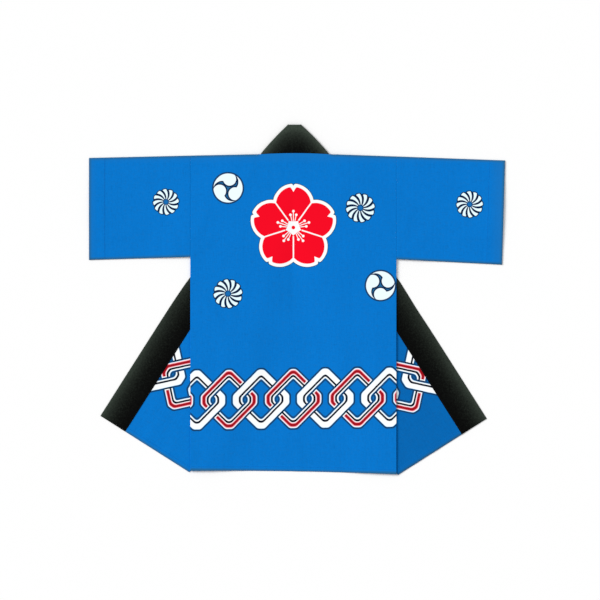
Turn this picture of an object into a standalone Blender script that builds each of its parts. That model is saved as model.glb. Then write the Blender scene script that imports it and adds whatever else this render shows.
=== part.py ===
"""Happi coat, laid flat with its back up and both fronts folded out at the sides.

Frame: +X towards the wearer's right, +Y from the hem to the neck, +Z up, in metres. The origin is the
bottom centre of the coat's bounding box. The sizes below are measured from the centre back line and
the middle of the hem; to_world() moves them to the origin.

How the coat lies, from the floor up:
  1. the lower fronts and the collar's legs, turned out past the side seams, right side up;
  2. the upper fronts, right side down, joined to the first layer by a fold that starts at the foot
     of the side seam;
  3. the back, which drops to the floor between the two folds.
Each sleeve is a flat tube of the front's layer and the back's layer.
"""

import math
from collections import namedtuple

import bpy

MM = 0.001

# Cloth walls and the gaps between them
CLOTH = 1.0 * MM
BAND_WALL = 2.0 * MM
SEAM = 0.3 * MM
NECK_EASE = 0.8 * MM
LAYER_GAP = 0.8 * MM

# Body
BODY_HALF = 309 * MM
HEM_BOW = 4 * MM
HEM_TILT = 1.8 * MM
NECKLINE_RISE = 3 * MM
FRONT_WIDTH = 229 * MM
TAPER_START = 0.5
BAND_WIDTH = 88.5 * MM
BAND_END_RISE = 85 * MM

# Folding of the fronts
TURN = math.radians(32.4)
FOLD_LEAN = TURN / 2
FOLD_RADIUS = 1.3 * MM
FOLD_EASE = 45 * MM

# How a layer comes down off the edge of what it lies on: level for a stretch, then in a soft slope
LEVEL_PAST_EDGE = 50 * MM
SLOPE = 120 * MM
COLLAR_STEP = 1.1 * MM

# The two sides of the coat as it lies, in millimetres: heights above the middle of the hem, reaches
# out from the centre line, and how far the front is cut longer than the back
Side = namedtuple(
    "Side",
    "name sign hem underarm armhole_top "
    "cuff_low cuff_top cuff_low_reach cuff_top_reach neck_reach band_reach front_drop",
)
SIDE_TABLE = (
    ("left", -1, 3.3, 646.8, 950.8, 637.8, 943.8, 613.0, 613.0, 98.1, 15.6, 3.8),
    ("right", 1, -3.3, 639.9, 948.3, 623.6, 936.3, 625.8, 634.8, 106.8, 22.5, 5.8),
)
LEFT, RIGHT = (Side(name, sign, *(size * MM for size in sizes)) for name, sign, *sizes in SIDE_TABLE)
NECK_CORNER = 954.9 * MM
BAND_TOP = 1043.4 * MM

# Mesh divisions
BACK_COLUMNS = (7, 7, 7)
BACK_ROWS = 24
FRONT_LOW_ROWS = 12
FRONT_HIGH_ROWS = 7
FRONT_TOP_ROWS = 6
FLAP_COLUMNS = 5
TURNED_COLUMNS = 5
FOLD_SEGMENTS = 6
LEG_COLUMNS = 2
LEG_LOW_ROWS = 11
LEG_HIGH_ROWS = 9
LEG_TOP_ROWS = 5
SETTLING_STEPS = 12
NECK_BAND_COLUMNS = 8
NECK_BAND_ROWS = 3
SLEEVE_COLUMNS = 7
SLEEVE_ROWS = 8
SLEEVE_EDGE_SEGMENTS = 3

ORIGIN = (
    (RIGHT.cuff_top_reach - LEFT.cuff_top_reach) / 2,
    (BAND_TOP + RIGHT.hem - RIGHT.front_drop * math.cos(TURN)) / 2,
)

Colour = namedtuple("Colour", "red green blue")
COTTON_BLUE = Colour(0.003, 0.178, 0.610)
COLLAR_BLACK = Colour(0.012, 0.013, 0.012)
COTTON_ROUGHNESS = 0.9


def mix(start, end, share):
    """Point at a share of the way from start to end."""
    return start + (end - start) * share


def smooth(share):
    """Soft step from 0 to 1, level at both ends."""
    share = min(max(share, 0.0), 1.0)
    return share * share * (3 - 2 * share)


def shares(divisions):
    """Even shares from 0 to 1, both ends among them."""
    return [index / divisions for index in range(divisions + 1)]


def to_world(x, y, z):
    """Place of a point given from the centre line and the middle of the hem."""
    return (x - ORIGIN[0], y - ORIGIN[1], z)


def falling(distance):
    """How far a layer is held up at a distance past the edge of what it lies on: 1 held, 0 on the floor."""
    return 1 - smooth((distance - LEVEL_PAST_EDGE) / SLOPE)


# ---- Heights of the layers. inward is measured from the side seam to the centre, up from its foot ----


def past_fold(inward, up):
    """Distance past a front's fold line, negative on the side of the upper front."""
    return inward * math.cos(FOLD_LEAN) - up * math.sin(FOLD_LEAN)


def past_turned_front(inward, up):
    """Distance outside the free edge of the collar's turned-out leg."""
    return up * math.sin(TURN) - inward * math.cos(TURN) - FRONT_WIDTH - BAND_WIDTH


def front_level(inward, up):
    """Middle height of the upper front, and of the sleeve's front layer."""
    return CLOTH / 2 + 2 * FOLD_RADIUS * falling(past_turned_front(inward, up))


def back_level_over(side, inward, up):
    """Middle height of the back, and of the sleeve's back layer, over one front."""
    held = falling(past_fold(inward, up))
    level = CLOTH / 2 + held * (front_level(inward, up) + CLOTH / 2 + LAYER_GAP)
    neck_width = BODY_HALF - side.neck_reach
    past_collar = neck_width - inward
    below_collar = neck_width / math.tan(FOLD_LEAN) - up
    return level + COLLAR_STEP * falling(past_collar) * falling(below_collar) * held


def back_level(x, y):
    """Middle height of the back at a place measured from the centre line and the hem."""
    return max(back_level_over(side, BODY_HALF - side.sign * x, y - side.hem) for side in (LEFT, RIGHT))


# ---- Outlines ----


def hem_at(x):
    """Height of the hem, which bows up a little between the side seams."""
    aside = x / BODY_HALF
    return mix(LEFT.hem, RIGHT.hem, (aside + 1) / 2) + HEM_BOW * (1 - aside * aside) - HEM_TILT * aside


def top_at(x):
    """Height of the shoulder or of the neckline."""
    side = RIGHT if x > 0 else LEFT
    reach = abs(x)
    if reach >= side.neck_reach:
        return mix(NECK_CORNER, side.armhole_top, (reach - side.neck_reach) / (BODY_HALF - side.neck_reach))
    share = (x + LEFT.neck_reach) / (LEFT.neck_reach + RIGHT.neck_reach)
    return NECK_CORNER + NECKLINE_RISE * 4 * share * (1 - share)


def front_top(side, inward):
    """Height of a front's shoulder edge above the foot of the side seam."""
    return top_at(side.sign * (BODY_HALF - inward)) - side.hem


def taper_at(side, up):
    """How far up its tapered half a front is at a height, from 0 to 1."""
    taper = taper_start(side)
    share = (up - taper) / (front_top(side, BODY_HALF - side.neck_reach) - taper)
    return min(max(share, 0.0), 1.0)


def front_edge(side, up):
    """Width of a front at a height: its upper half narrows towards the neck, along the collar's seam."""
    return mix(FRONT_WIDTH, BODY_HALF - side.neck_reach, taper_at(side, up))


def taper_start(side):
    """Height at which a front begins to narrow."""
    return TAPER_START * front_top(side, FRONT_WIDTH)


def settled(step, value):
    """Value that repeated steps come to rest on."""
    for _ in range(SETTLING_STEPS):
        value = step(value)
    return value


# ---- Folding ----


def folded(side, inward, up, wall):
    """World place of a point of a flat-cut front or collar leg once it is folded at the fold line.

    The fold is as thick as the collar, so thinner cloth is held up a little on both sides of it.
    """
    across = past_fold(inward, up)
    along = inward * math.sin(FOLD_LEAN) + up * math.cos(FOLD_LEAN)
    quarter = FOLD_RADIUS * math.pi / 2
    eased = smooth((abs(across) - quarter) / FOLD_EASE) * (BAND_WALL - wall) / 2
    lift = (BAND_WALL - CLOTH) / 2 - eased
    if across <= -quarter:
        offset = across
        height = front_level(inward, up) + lift
    elif across >= quarter:
        offset = -across
        height = BAND_WALL / 2 - eased
    else:
        angle = across / FOLD_RADIUS
        offset = FOLD_RADIUS * math.cos(angle) - quarter
        height = BAND_WALL / 2 + FOLD_RADIUS * (1 - math.sin(angle))
    place_in = offset * math.cos(FOLD_LEAN) + along * math.sin(FOLD_LEAN)
    place_up = along * math.cos(FOLD_LEAN) - offset * math.sin(FOLD_LEAN)
    return to_world(side.sign * (BODY_HALF - place_in), side.hem + place_up, height)


def spaced(stops, counts):
    """Places from the first stop to the last, evenly spaced between one stop and the next."""
    places = [stops[0]]
    for start, end, count in zip(stops, stops[1:], counts):
        places += [mix(start, end, share) for share in shares(count)][1:]
    return places


def stations(crossing, stops, counts, end, after):
    """Places along a line of the flat cut that crosses the fold, finer round the fold, none past the end.

    crossing(distance) gives the place where the line is that far past the fold line. stops are the
    places before the fold between which it is evenly divided, into the counts given.
    """
    quarter = FOLD_RADIUS * math.pi / 2
    round_fold = sorted(crossing(quarter * (2 * share - 1)) for share in shares(FOLD_SEGMENTS))
    places = spaced([*stops, round_fold[0]], counts)
    places += round_fold[1:-1]
    places += spaced([round_fold[-1], end], [after])
    return [min(max(place, stops[0]), end) for place in places]


def seam_crossing(side, width):
    """Function of a distance: the height at which a line of the collar is that far past the fold line.

    width is how far the line lies from the collar's seam.
    """

    def crossing(distance):
        """Height at which the line is that far past the fold line."""

        def closer(up):
            """A better estimate of that height."""
            return ((front_edge(side, up) + width) * math.cos(FOLD_LEAN) - distance) / math.sin(FOLD_LEAN)

        return settled(closer, 0.0)

    return crossing


# ---- Mesh making ----


def material(name, colour):
    """Plain cotton of one colour."""
    made = bpy.data.materials.new(name)
    made.use_nodes = True
    shader = made.node_tree.nodes["Principled BSDF"]
    shader.inputs["Base Color"].default_value = (*colour, 1.0)
    shader.inputs["Roughness"].default_value = COTTON_ROUGHNESS
    shader.inputs["Metallic"].default_value = 0.0
    return made


def sheet(name, grid, place, wall, finish, face_up=True, closed=False):
    """Make one piece of cloth as a solid of even wall from a grid of flat-cut points.

    grid is rows of flat points, place() gives a flat point's world place, and points that fall
    together in the flat cut become one. closed joins each row's end to its start, as in a tube.
    """
    index_of = {}
    points = []
    faces = []

    def index(flat):
        """Number of the mesh point for a flat point."""
        key = tuple(round(value, 6) for value in flat)
        if key not in index_of:
            index_of[key] = len(points)
            points.append(place(*flat))
        return index_of[key]

    for low, high in zip(grid, grid[1:]):
        steps = len(low) if closed else len(low) - 1
        for step in range(steps):
            after = (step + 1) % len(low)
            ring = [index(low[step]), index(low[after]), index(high[after]), index(high[step])]
            corners = list(dict.fromkeys(ring))
            if len(corners) > 2:
                faces.append(corners if face_up else corners[::-1])
    mesh = bpy.data.meshes.new(name)
    mesh.from_pydata(points, [], faces)
    mesh.materials.append(finish)
    piece = bpy.data.objects.new(name, mesh)
    bpy.context.collection.objects.link(piece)
    wall_maker = piece.modifiers.new("wall", "SOLIDIFY")
    wall_maker.thickness = wall
    wall_maker.offset = 0.0
    return piece


# ---- Pieces ----


def make_back(finish):
    """The back, from hem to shoulders and neckline."""
    columns = spaced((-BODY_HALF, -LEFT.neck_reach, RIGHT.neck_reach, BODY_HALF), BACK_COLUMNS)
    grid = [[(x, mix(hem_at(x), top_at(x), share)) for x in columns] for share in shares(BACK_ROWS)]

    def place(x, y):
        """World place of a point of the back."""
        return to_world(x, y, back_level(x, y))

    return sheet("back_panel", grid, place, CLOTH, finish)


def make_front(side, finish):
    """One front: its upper part under the back, folded so that its lower part turns out."""
    top = front_top(side, BODY_HALF - side.neck_reach)
    stops, counts = [-side.front_drop, taper_start(side)], [FRONT_LOW_ROWS, FRONT_HIGH_ROWS]
    grid = []
    for rise in stations(seam_crossing(side, 0.0), stops, counts, top, FRONT_TOP_ROWS):
        edge = front_edge(side, rise) - SEAM / 2 - NECK_EASE * taper_at(side, rise)

        def up_at(inward, slope=rise / front_top(side, edge)):
            """Height of this row of the front at a distance from the side seam."""
            return slope * front_top(side, inward)

        def crossing(distance):
            """Place on this row that is that far past the fold line."""
            return settled(
                lambda inward: (distance + up_at(inward) * math.sin(FOLD_LEAN)) / math.cos(FOLD_LEAN), 0.0
            )

        row = stations(crossing, [0.0], [FLAP_COLUMNS], edge, TURNED_COLUMNS)
        grid.append([(inward, up_at(inward)) for inward in row])

    def place(inward, up):
        """World place of a point of the front."""
        return folded(side, inward, up, CLOTH)

    return sheet("front_" + side.name, grid, place, CLOTH, finish, face_up=side.sign > 0)


def make_collar_leg(side, finish):
    """The collar's stretch down one front, from the neck's corner to the hem."""
    grid = []
    for share in shares(LEG_COLUMNS):
        width = share * BAND_WIDTH
        clearance = (1 - share) * SEAM / 2
        end = front_top(side, BODY_HALF - side.neck_reach) + share * BAND_END_RISE
        stops, counts = [-side.front_drop, taper_start(side)], [LEG_LOW_ROWS, LEG_HIGH_ROWS]
        column = stations(seam_crossing(side, width), stops, counts, end, LEG_TOP_ROWS)
        grid.append([(front_edge(side, up) + width + clearance, up) for up in column])

    def place(inward, up):
        """World place of a point of the collar leg."""
        return folded(side, inward, up, BAND_WALL)

    return sheet("collar_" + side.name, grid, place, BAND_WALL, finish, face_up=side.sign < 0)


def make_collar_neck(finish):
    """The collar's stretch behind the neck, mitred where it folds down to its legs."""
    level = BAND_WALL + 2 * FOLD_RADIUS + SEAM + BAND_WALL / 2
    grid = []
    for rise in shares(NECK_BAND_ROWS):
        row = []
        for share in shares(NECK_BAND_COLUMNS):
            seam_x = mix(-LEFT.neck_reach, RIGHT.neck_reach, share)
            free_x = mix(-LEFT.band_reach, RIGHT.band_reach, share)
            row.append((mix(seam_x, free_x, rise), mix(top_at(seam_x) + SEAM, BAND_TOP, rise)))
        grid.append(row)

    def place(x, y):
        """World place of a point of the neck band."""
        return to_world(x, y, level)

    return sheet("collar_neck", grid, place, BAND_WALL, finish)


def make_sleeve(side, finish):
    """One sleeve: a flat tube of a front layer and a back layer, open at the armhole and the cuff."""
    edge_radius = (CLOTH + LAYER_GAP) / 2
    inset = edge_radius + CLOTH / 2
    grid = []
    for share in shares(SLEEVE_COLUMNS):
        low = mix(side.underarm, side.cuff_low, share) + inset
        high = mix(side.armhole_top, side.cuff_top, share) - inset
        low_reach = mix(BODY_HALF + SEAM, side.cuff_low_reach, share)
        high_reach = mix(BODY_HALF + SEAM, side.cuff_top_reach, share)
        ring = [(rise, 0.0, 0.0) for rise in shares(SLEEVE_ROWS)]
        ring += [(1.0, turn, 0.0) for turn in shares(SLEEVE_EDGE_SEGMENTS)[1:-1]]
        ring += [(1.0 - rise, 1.0, 0.0) for rise in shares(SLEEVE_ROWS)]
        ring += [(0.0, 1.0, turn) for turn in shares(SLEEVE_EDGE_SEGMENTS)[1:-1]]
        grid.append(
            [
                (mix(low_reach, high_reach, rise), mix(low, high, rise), over, under)
                for rise, over, under in ring
            ]
        )

    def place(reach, y, over, under):
        """World place of a point of the sleeve: over turns at the shoulder fold, under at the seam."""
        inward = BODY_HALF - reach
        up = y - side.hem
        front = front_level(inward, up)
        back = back_level_over(side, inward, up)
        middle, radius = (front + back) / 2, (back - front) / 2
        if under > 0:
            bulge, height = -math.sin(math.pi * under), math.cos(math.pi * under)
        else:
            bulge, height = math.sin(math.pi * over), -math.cos(math.pi * over)
        return to_world(side.sign * reach, y + radius * bulge, middle + radius * height)

    return sheet("sleeve_" + side.name, grid, place, CLOTH, finish, face_up=side.sign > 0, closed=True)


def main():
    """Clear the scene and make the coat's eight pieces."""
    for old in list(bpy.data.objects):
        bpy.data.objects.remove(old)
    cotton = material("printed_cotton", COTTON_BLUE)
    collar = material("collar_cotton", COLLAR_BLACK)
    make_back(cotton)
    make_collar_neck(collar)
    for side in (LEFT, RIGHT):
        make_front(side, cotton)
        make_collar_leg(side, collar)
        make_sleeve(side, cotton)


main()
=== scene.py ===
"""Happi coat: the looks of its cloth, print, stitching and studio.

The coat lies flat with its back up. Each front is folded under the back along a line that starts at
the foot of the side seam, so that its lower half lies turned out beside the body. Sizes are in metres.
Places on the coat are measured from its centre line and from the middle of its hem.
"""

from __future__ import annotations

import logging
from collections.abc import Callable, Sequence
from dataclasses import dataclass, field, replace
from enum import Enum, IntEnum, auto
from math import ceil, cos, exp, hypot, pi, radians, sin, sqrt, tan, tau
from typing import NamedTuple, Union

import bpy
from bpy.types import Material, Node, NodeSocket, NodeTree, Object
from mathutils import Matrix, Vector


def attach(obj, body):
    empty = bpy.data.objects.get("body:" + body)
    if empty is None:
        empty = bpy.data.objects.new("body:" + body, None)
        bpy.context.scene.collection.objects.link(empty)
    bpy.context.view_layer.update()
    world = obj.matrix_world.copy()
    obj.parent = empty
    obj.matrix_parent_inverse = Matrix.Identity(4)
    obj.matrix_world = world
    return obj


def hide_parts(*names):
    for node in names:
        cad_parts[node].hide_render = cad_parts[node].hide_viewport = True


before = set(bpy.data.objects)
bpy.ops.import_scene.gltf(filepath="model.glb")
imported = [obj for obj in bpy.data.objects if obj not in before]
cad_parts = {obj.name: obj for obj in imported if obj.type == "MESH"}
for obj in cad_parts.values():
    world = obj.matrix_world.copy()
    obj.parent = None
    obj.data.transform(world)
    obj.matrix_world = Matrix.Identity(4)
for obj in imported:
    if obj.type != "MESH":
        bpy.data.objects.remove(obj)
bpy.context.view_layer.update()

logging.basicConfig(level=logging.INFO, format="%(levelname)s %(message)s")
log = logging.getLogger("happi_coat")

MM = 0.001
UP = Vector((0.0, 0.0, 1.0))
BODY = "root"
CLOTH_UV = "cloth"
ROUND_OFF = 1e-6
SETTLING_STEPS = 14

# Decimals that tell two knots of a grid apart, and the least number of corners of a face.
KEY_DIGITS = 7
LEAST_CORNERS = 3

# Steps of a grid round a fold and along the step of a hem, and how many widths a crease reaches aside.
FOLD_STEPS = 12
HEM_STEPS = 3
CREASE_TAIL = 3

# The curve by which a screen's levels stand for linear light.
SCREEN_LEVELS = 255
CURVE_KNEE = 0.04045
CURVE_SLOPE = 12.92
CURVE_OFFSET = 0.055
CURVE_POWER = 2.4


class Slot(Enum):
    """The material slots of the coat."""

    PRINTED = "printed_cotton"
    COLLAR = "collar_cotton"


# ---- Small sums ----


def mix(start: float, end: float, share: float) -> float:
    """Return the number at a share of the way from start to end."""
    return start + (end - start) * share


def clamped(value: float, low: float = 0.0, high: float = 1.0) -> float:
    """Return the value kept between low and high."""
    return min(max(value, low), high)


def smooth(share: float) -> float:
    """Return a soft step from 0 to 1 that is level at both ends."""
    share = clamped(share)
    return share * share * (3 - 2 * share)


def arch(share: float) -> float:
    """Return a bow that is 0 at shares 0 and 1, and 1 halfway."""
    return 4 * share * (1 - share)


def linear(seen: float) -> float:
    """Return in linear light what a screen shows at a share of its levels."""
    curved = ((seen + CURVE_OFFSET) / (1 + CURVE_OFFSET)) ** CURVE_POWER
    return seen / CURVE_SLOPE if seen <= CURVE_KNEE else curved


def rolled(radius: float, turn: float) -> tuple[float, float]:
    """Return how far out and how far down cloth lies at a share of its turn round a half circle."""
    return radius * sin(pi * turn), radius * (1 - cos(pi * turn))


def shares(divisions: int) -> list[float]:
    """Return even shares from 0 to 1, both ends among them."""
    return [index / divisions for index in range(divisions + 1)]


def rounded(distance: float, radius: float, least: float = 0.3) -> float:
    """Return the share of its ply, at least so much, that cloth has at a distance inside a round edge."""
    short = 1 - clamped(distance / radius)
    return max(least, sqrt(max(1 - short * short, 0.0)))


def settled(step: Callable[[float], float]) -> float:
    """Return the value that repeated steps come to rest on.

    Args:
        step: Gives a better value from the last one.

    Returns:
        The value.
    """
    value = 0.0
    for _ in range(SETTLING_STEPS):
        value = step(value)
    return value


def stations(
    start: float, end: float, pitch: float, near: Sequence[float], more: Sequence[float] = ()
) -> list[float]:
    """Return places from start to end, closer together beside both ends.

    Args:
        start: First place.
        end: Last place.
        pitch: Widest step between two places.
        near: Distances from either end that also get a place.
        more: Further places to include.

    Returns:
        The places in order, from start to end.
    """
    kept = {start, end}
    kept.update(start + step for step in near)
    kept.update(end - step for step in near)
    kept.update(more)
    fixed = sorted(place for place in kept if start <= place <= end)
    places = [fixed[0]]
    for low, high in zip(fixed, fixed[1:]):
        count = max(1, ceil((high - low) / pitch - ROUND_OFF))
        places += [mix(low, high, share) for share in shares(count)][1:]
    return places


# ---- How the coat lies ----


@dataclass(frozen=True)
class Side:
    """One side of the coat: heights above the middle of the hem, and reaches from the centre line."""

    name: str
    sign: int
    hem: float
    underarm: float
    armhole_top: float
    cuff_low: float
    cuff_top: float
    cuff_low_reach: float
    cuff_top_reach: float
    neck_reach: float
    band_reach: float
    front_drop: float
    leg_pinch: float
    leg_pinch_up: float


LEFT = Side(
    name="left",
    sign=-1,
    hem=3.3 * MM,
    underarm=646.8 * MM,
    armhole_top=950.8 * MM,
    cuff_low=637.8 * MM,
    cuff_top=943.8 * MM,
    cuff_low_reach=613.0 * MM,
    cuff_top_reach=613.0 * MM,
    neck_reach=98.1 * MM,
    band_reach=15.6 * MM,
    front_drop=3.8 * MM,
    leg_pinch=4.2 * MM,
    leg_pinch_up=500 * MM,
)
RIGHT = Side(
    name="right",
    sign=1,
    hem=-3.3 * MM,
    underarm=639.9 * MM,
    armhole_top=948.3 * MM,
    cuff_low=623.6 * MM,
    cuff_top=936.3 * MM,
    cuff_low_reach=625.8 * MM,
    cuff_top_reach=634.8 * MM,
    neck_reach=106.8 * MM,
    band_reach=22.5 * MM,
    front_drop=5.8 * MM,
    leg_pinch=1.4 * MM,
    leg_pinch_up=385 * MM,
)
SIDES = (LEFT, RIGHT)


def side_of(x: float) -> Side:
    """Return the side that a place is on."""
    return RIGHT if x > 0 else LEFT


class Crease(NamedTuple):
    """A soft ridge that all the layers share, in millimetres."""

    x0: float
    y0: float
    x1: float
    y1: float
    height: float
    width: float

    def rise(self, x: float, y: float) -> float:
        """Return how far the ridge lifts the cloth.

        Args:
            x: Place across, in metres.
            y: Place along, in metres.

        Returns:
            The lift in metres.
        """
        run_x, run_y = (self.x1 - self.x0) * MM, (self.y1 - self.y0) * MM
        off_x, off_y = x - self.x0 * MM, y - self.y0 * MM
        length = hypot(run_x, run_y)
        along = (off_x * run_x + off_y * run_y) / (length * length)
        if not 0 < along < 1:
            return 0.0
        aside = (off_x * run_y - off_y * run_x) / (length * self.width * MM)
        if abs(aside) > CREASE_TAIL:
            return 0.0
        return self.height * MM * sin(pi * along) ** 2 * exp(-aside * aside)


BODY_CREASES = (
    Crease(-205, 40, -188, 600, 0.70, 27),
    Crease(-96, -20, -120, 500, 0.55, 23),
    Crease(-30, 200, -12, 830, 0.50, 31),
    Crease(62, -10, 84, 460, 0.60, 25),
    Crease(150, 90, 128, 720, 0.55, 29),
    Crease(238, 10, 250, 540, 0.70, 24),
    Crease(-110, 950, -185, 780, 0.55, 18),
    Crease(112, 950, 172, 770, 0.60, 17),
)
HEM_CREASES = (
    Crease(-262, -90, -250, 150, 0.55, 13),
    Crease(-150, -80, -158, 110, 0.45, 12),
    Crease(22, -90, 14, 130, 0.50, 14),
    Crease(118, -70, 127, 95, 0.40, 11),
    Crease(204, -90, 196, 140, 0.55, 14),
)
UNDERARM_CREASES = (
    Crease(-345, 600, -205, 755, 0.60, 13),
    Crease(-325, 610, -240, 850, 0.50, 14),
    Crease(345, 595, 212, 740, 0.60, 13),
    Crease(325, 605, 255, 835, 0.50, 13),
    Crease(-285, 625, -440, 750, 0.55, 14),
    Crease(-295, 620, -375, 865, 0.45, 14),
    Crease(285, 620, 450, 755, 0.60, 14),
    Crease(298, 615, 370, 850, 0.45, 13),
)
SLEEVE_CREASES = (
    Crease(-330, 902, -640, 866, 0.45, 19),
    Crease(-400, 725, -650, 695, 0.50, 17),
    Crease(335, 884, 650, 856, 0.50, 21),
    Crease(420, 696, 670, 706, 0.45, 16),
)
FRONT_CREASES = (
    Crease(-500, 0, -340, 255, 0.60, 17),
    Crease(-420, -20, -325, 140, 0.50, 14),
    Crease(-560, 60, -415, 300, 0.45, 15),
    Crease(475, -10, 340, 215, 0.60, 16),
    Crease(410, -25, 322, 145, 0.45, 14),
    Crease(545, 50, 425, 275, 0.50, 15),
)
BAND_CREASES = (
    Crease(-505, 325, -385, 250, 0.45, 11),
    Crease(-610, 160, -480, 100, 0.35, 12),
    Crease(430, 380, 350, 290, 0.45, 11),
    Crease(575, 210, 470, 120, 0.35, 12),
)


@dataclass(frozen=True)
class Lay:
    """The coat's outline, the heights of its layers, and the folding of its fronts."""

    ply: float = 1.0 * MM
    band_ply: float = 2.0 * MM
    layer_gap: float = 0.8 * MM
    seam: float = 0.3 * MM
    neck_ease: float = 0.8 * MM
    underarm_ease: float = 14 * MM
    shoulder_ease: float = 12 * MM
    body_half: float = 309 * MM
    neckline_rise: float = 3 * MM
    hem_bow: float = 4 * MM
    hem_tilt: float = 1.8 * MM
    neck_corner: float = 954.9 * MM
    band_top: float = 1043.4 * MM
    front_width: float = 229 * MM
    taper_start: float = 0.5
    band_width: float = 88.5 * MM
    band_end_rise: float = 85 * MM
    turn: float = radians(32.4)
    fold_radius: float = 1.3 * MM
    fold_ease: float = 45 * MM
    level_past_edge: float = 50 * MM
    slope: float = 120 * MM
    collar_step: float = 1.1 * MM
    creases: tuple[Crease, ...] = (
        BODY_CREASES + HEM_CREASES + UNDERARM_CREASES + SLEEVE_CREASES + FRONT_CREASES + BAND_CREASES
    )

    @property
    def lean(self) -> float:
        """Return the angle between the fold line and the side seam."""
        return self.turn / 2

    @property
    def quarter_turn(self) -> float:
        """Return how far cloth runs round half a fold, which turns it by a quarter of a circle."""
        return self.fold_radius * pi / 2

    @property
    def fold_lines(self) -> list[float]:
        """Return the distances past the fold line at which a grid has a line."""
        return [self.quarter_turn * (2 * share - 1) for share in shares(FOLD_STEPS)]

    def to_world(self, x: float, y: float, z: float) -> Vector:
        """Return the place in the frame of a point of the coat, lifted by the creases.

        Args:
            x: Distance from the centre line.
            y: Distance from the middle of the hem.
            z: Height over the floor where there is no crease.

        Returns:
            The place in the frame.
        """
        lifted = z + sum(crease.rise(x, y) for crease in self.creases)
        lowest = RIGHT.hem - RIGHT.front_drop * cos(self.turn)
        middle = (RIGHT.cuff_top_reach - LEFT.cuff_top_reach) / 2
        return Vector((x - middle, y - (self.band_top + lowest) / 2, lifted))

    def falling(self, distance: float) -> float:
        """Return how far a layer is held up at a distance past the edge of what it lies on."""
        return 1 - smooth((distance - self.level_past_edge) / self.slope)

    def past_fold(self, inward: float, up: float) -> float:
        """Return the distance past a front's fold line, negative on the side of the upper front."""
        return inward * cos(self.lean) - up * sin(self.lean)

    def front_level(self, inward: float, up: float) -> float:
        """Return the middle height of the upper front and of the sleeve's front layer."""
        outside = up * sin(self.turn) - inward * cos(self.turn) - self.front_width - self.band_width
        return self.ply / 2 + 2 * self.fold_radius * self.falling(outside)

    def back_level_over(self, side: Side, inward: float, up: float) -> float:
        """Return the middle height of the back, and of the sleeve's back layer, over one front.

        Args:
            side: The side that the front is on.
            inward: Distance from the side seam towards the centre line.
            up: Height above the foot of the side seam.

        Returns:
            The height over the floor.
        """
        held = self.falling(self.past_fold(inward, up))
        level = self.ply / 2 + held * (self.front_level(inward, up) + self.ply / 2 + self.layer_gap)
        neck_width = self.body_half - side.neck_reach
        held *= self.falling(neck_width - inward) * self.falling(neck_width / tan(self.lean) - up)
        return level + self.collar_step * held

    def back_level(self, x: float, y: float) -> float:
        """Return the middle height of the back."""
        inwards = ((side, self.body_half - side.sign * x) for side in SIDES)
        return max(self.back_level_over(side, inward, y - side.hem) for side, inward in inwards)

    def hem_at(self, x: float) -> float:
        """Return the height of the hem at a distance from the centre line."""
        share = (x / self.body_half + 1) / 2
        return mix(LEFT.hem + self.hem_tilt, RIGHT.hem - self.hem_tilt, share) + self.hem_bow * arch(share)

    def top_at(self, x: float) -> float:
        """Return the height of the shoulder or of the neckline at a distance from the centre line.

        Args:
            x: The distance, negative on the left.

        Returns:
            The height above the middle of the hem.
        """
        side, reach = side_of(x), abs(x)
        if reach >= side.neck_reach:
            past_neck = (reach - side.neck_reach) / (self.body_half - side.neck_reach)
            return mix(self.neck_corner, side.armhole_top, past_neck)
        share = (x + LEFT.neck_reach) / (LEFT.neck_reach + RIGHT.neck_reach)
        return self.neck_corner + self.neckline_rise * arch(share)

    def front_top(self, side: Side, inward: float) -> float:
        """Return the height of a front's shoulder edge above the foot of the side seam."""
        return self.top_at(side.sign * (self.body_half - inward)) - side.hem

    def taper_at(self, side: Side, up: float) -> float:
        """Return how far up its tapered half a front is at a height, from 0 to 1 at the neck."""
        foot = self.taper_start * self.front_top(side, self.front_width)
        return clamped((up - foot) / (self.front_top(side, self.body_half - side.neck_reach) - foot))

    def front_edge(self, side: Side, up: float) -> float:
        """Return the width of a front at a height, up to the collar's seam."""
        return mix(self.front_width, self.body_half - side.neck_reach, self.taper_at(side, up))

    def seam_crossing(self, side: Side, past_seam: float, distance: float) -> float:
        """Return the height at which a line along the collar's seam is a distance past the fold line.

        Args:
            side: The side that the line is on.
            past_seam: How far past the collar's seam the line runs.
            distance: The distance.

        Returns:
            The height above the foot of the side seam.
        """

        def closer(up: float) -> float:
            """Return a better height from the last one."""
            inward = self.front_edge(side, up) + past_seam
            return (inward * cos(self.lean) - distance) / sin(self.lean)

        return settled(closer)

    def folded_at(self, inward: float, up: float, ply: float) -> tuple[float, float, float]:
        """Return a flat-cut point's place once the front is folded, before it is set on the coat.

        Args:
            inward: Distance from the side seam in the flat cut.
            up: Height above the foot of the side seam in the flat cut.
            ply: Thickness of the cloth there, of which the fold makes allowance.

        Returns:
            Distance inward, distance up, and height over the floor.
        """
        across = self.past_fold(inward, up)
        along = inward * sin(self.lean) + up * cos(self.lean)
        quarter = self.quarter_turn
        eased = smooth((abs(across) - quarter) / self.fold_ease) * (self.band_ply - ply) / 2
        if across <= -quarter:
            offset = across
            height = self.front_level(inward, up) + (self.band_ply - self.ply) / 2 - eased
        elif across >= quarter:
            offset = -across
            height = self.band_ply / 2 - eased
        else:
            angle = across / self.fold_radius
            offset = self.fold_radius * cos(angle) - quarter
            height = self.band_ply / 2 + self.fold_radius * (1 - sin(angle))
        place_in = offset * cos(self.lean) + along * sin(self.lean)
        place_up = along * cos(self.lean) - offset * sin(self.lean)
        return place_in, place_up, height

    def fold(self, side: Side, inward: float, up: float, ply: float, lift: float = 0.0) -> Vector:
        """Return the place in the frame of a flat-cut point of a front or a leg, lifted so much more."""
        place_in, place_up, height = self.folded_at(inward, up, ply)
        return self.to_world(side.sign * (self.body_half - place_in), side.hem + place_up, height + lift)

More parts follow.
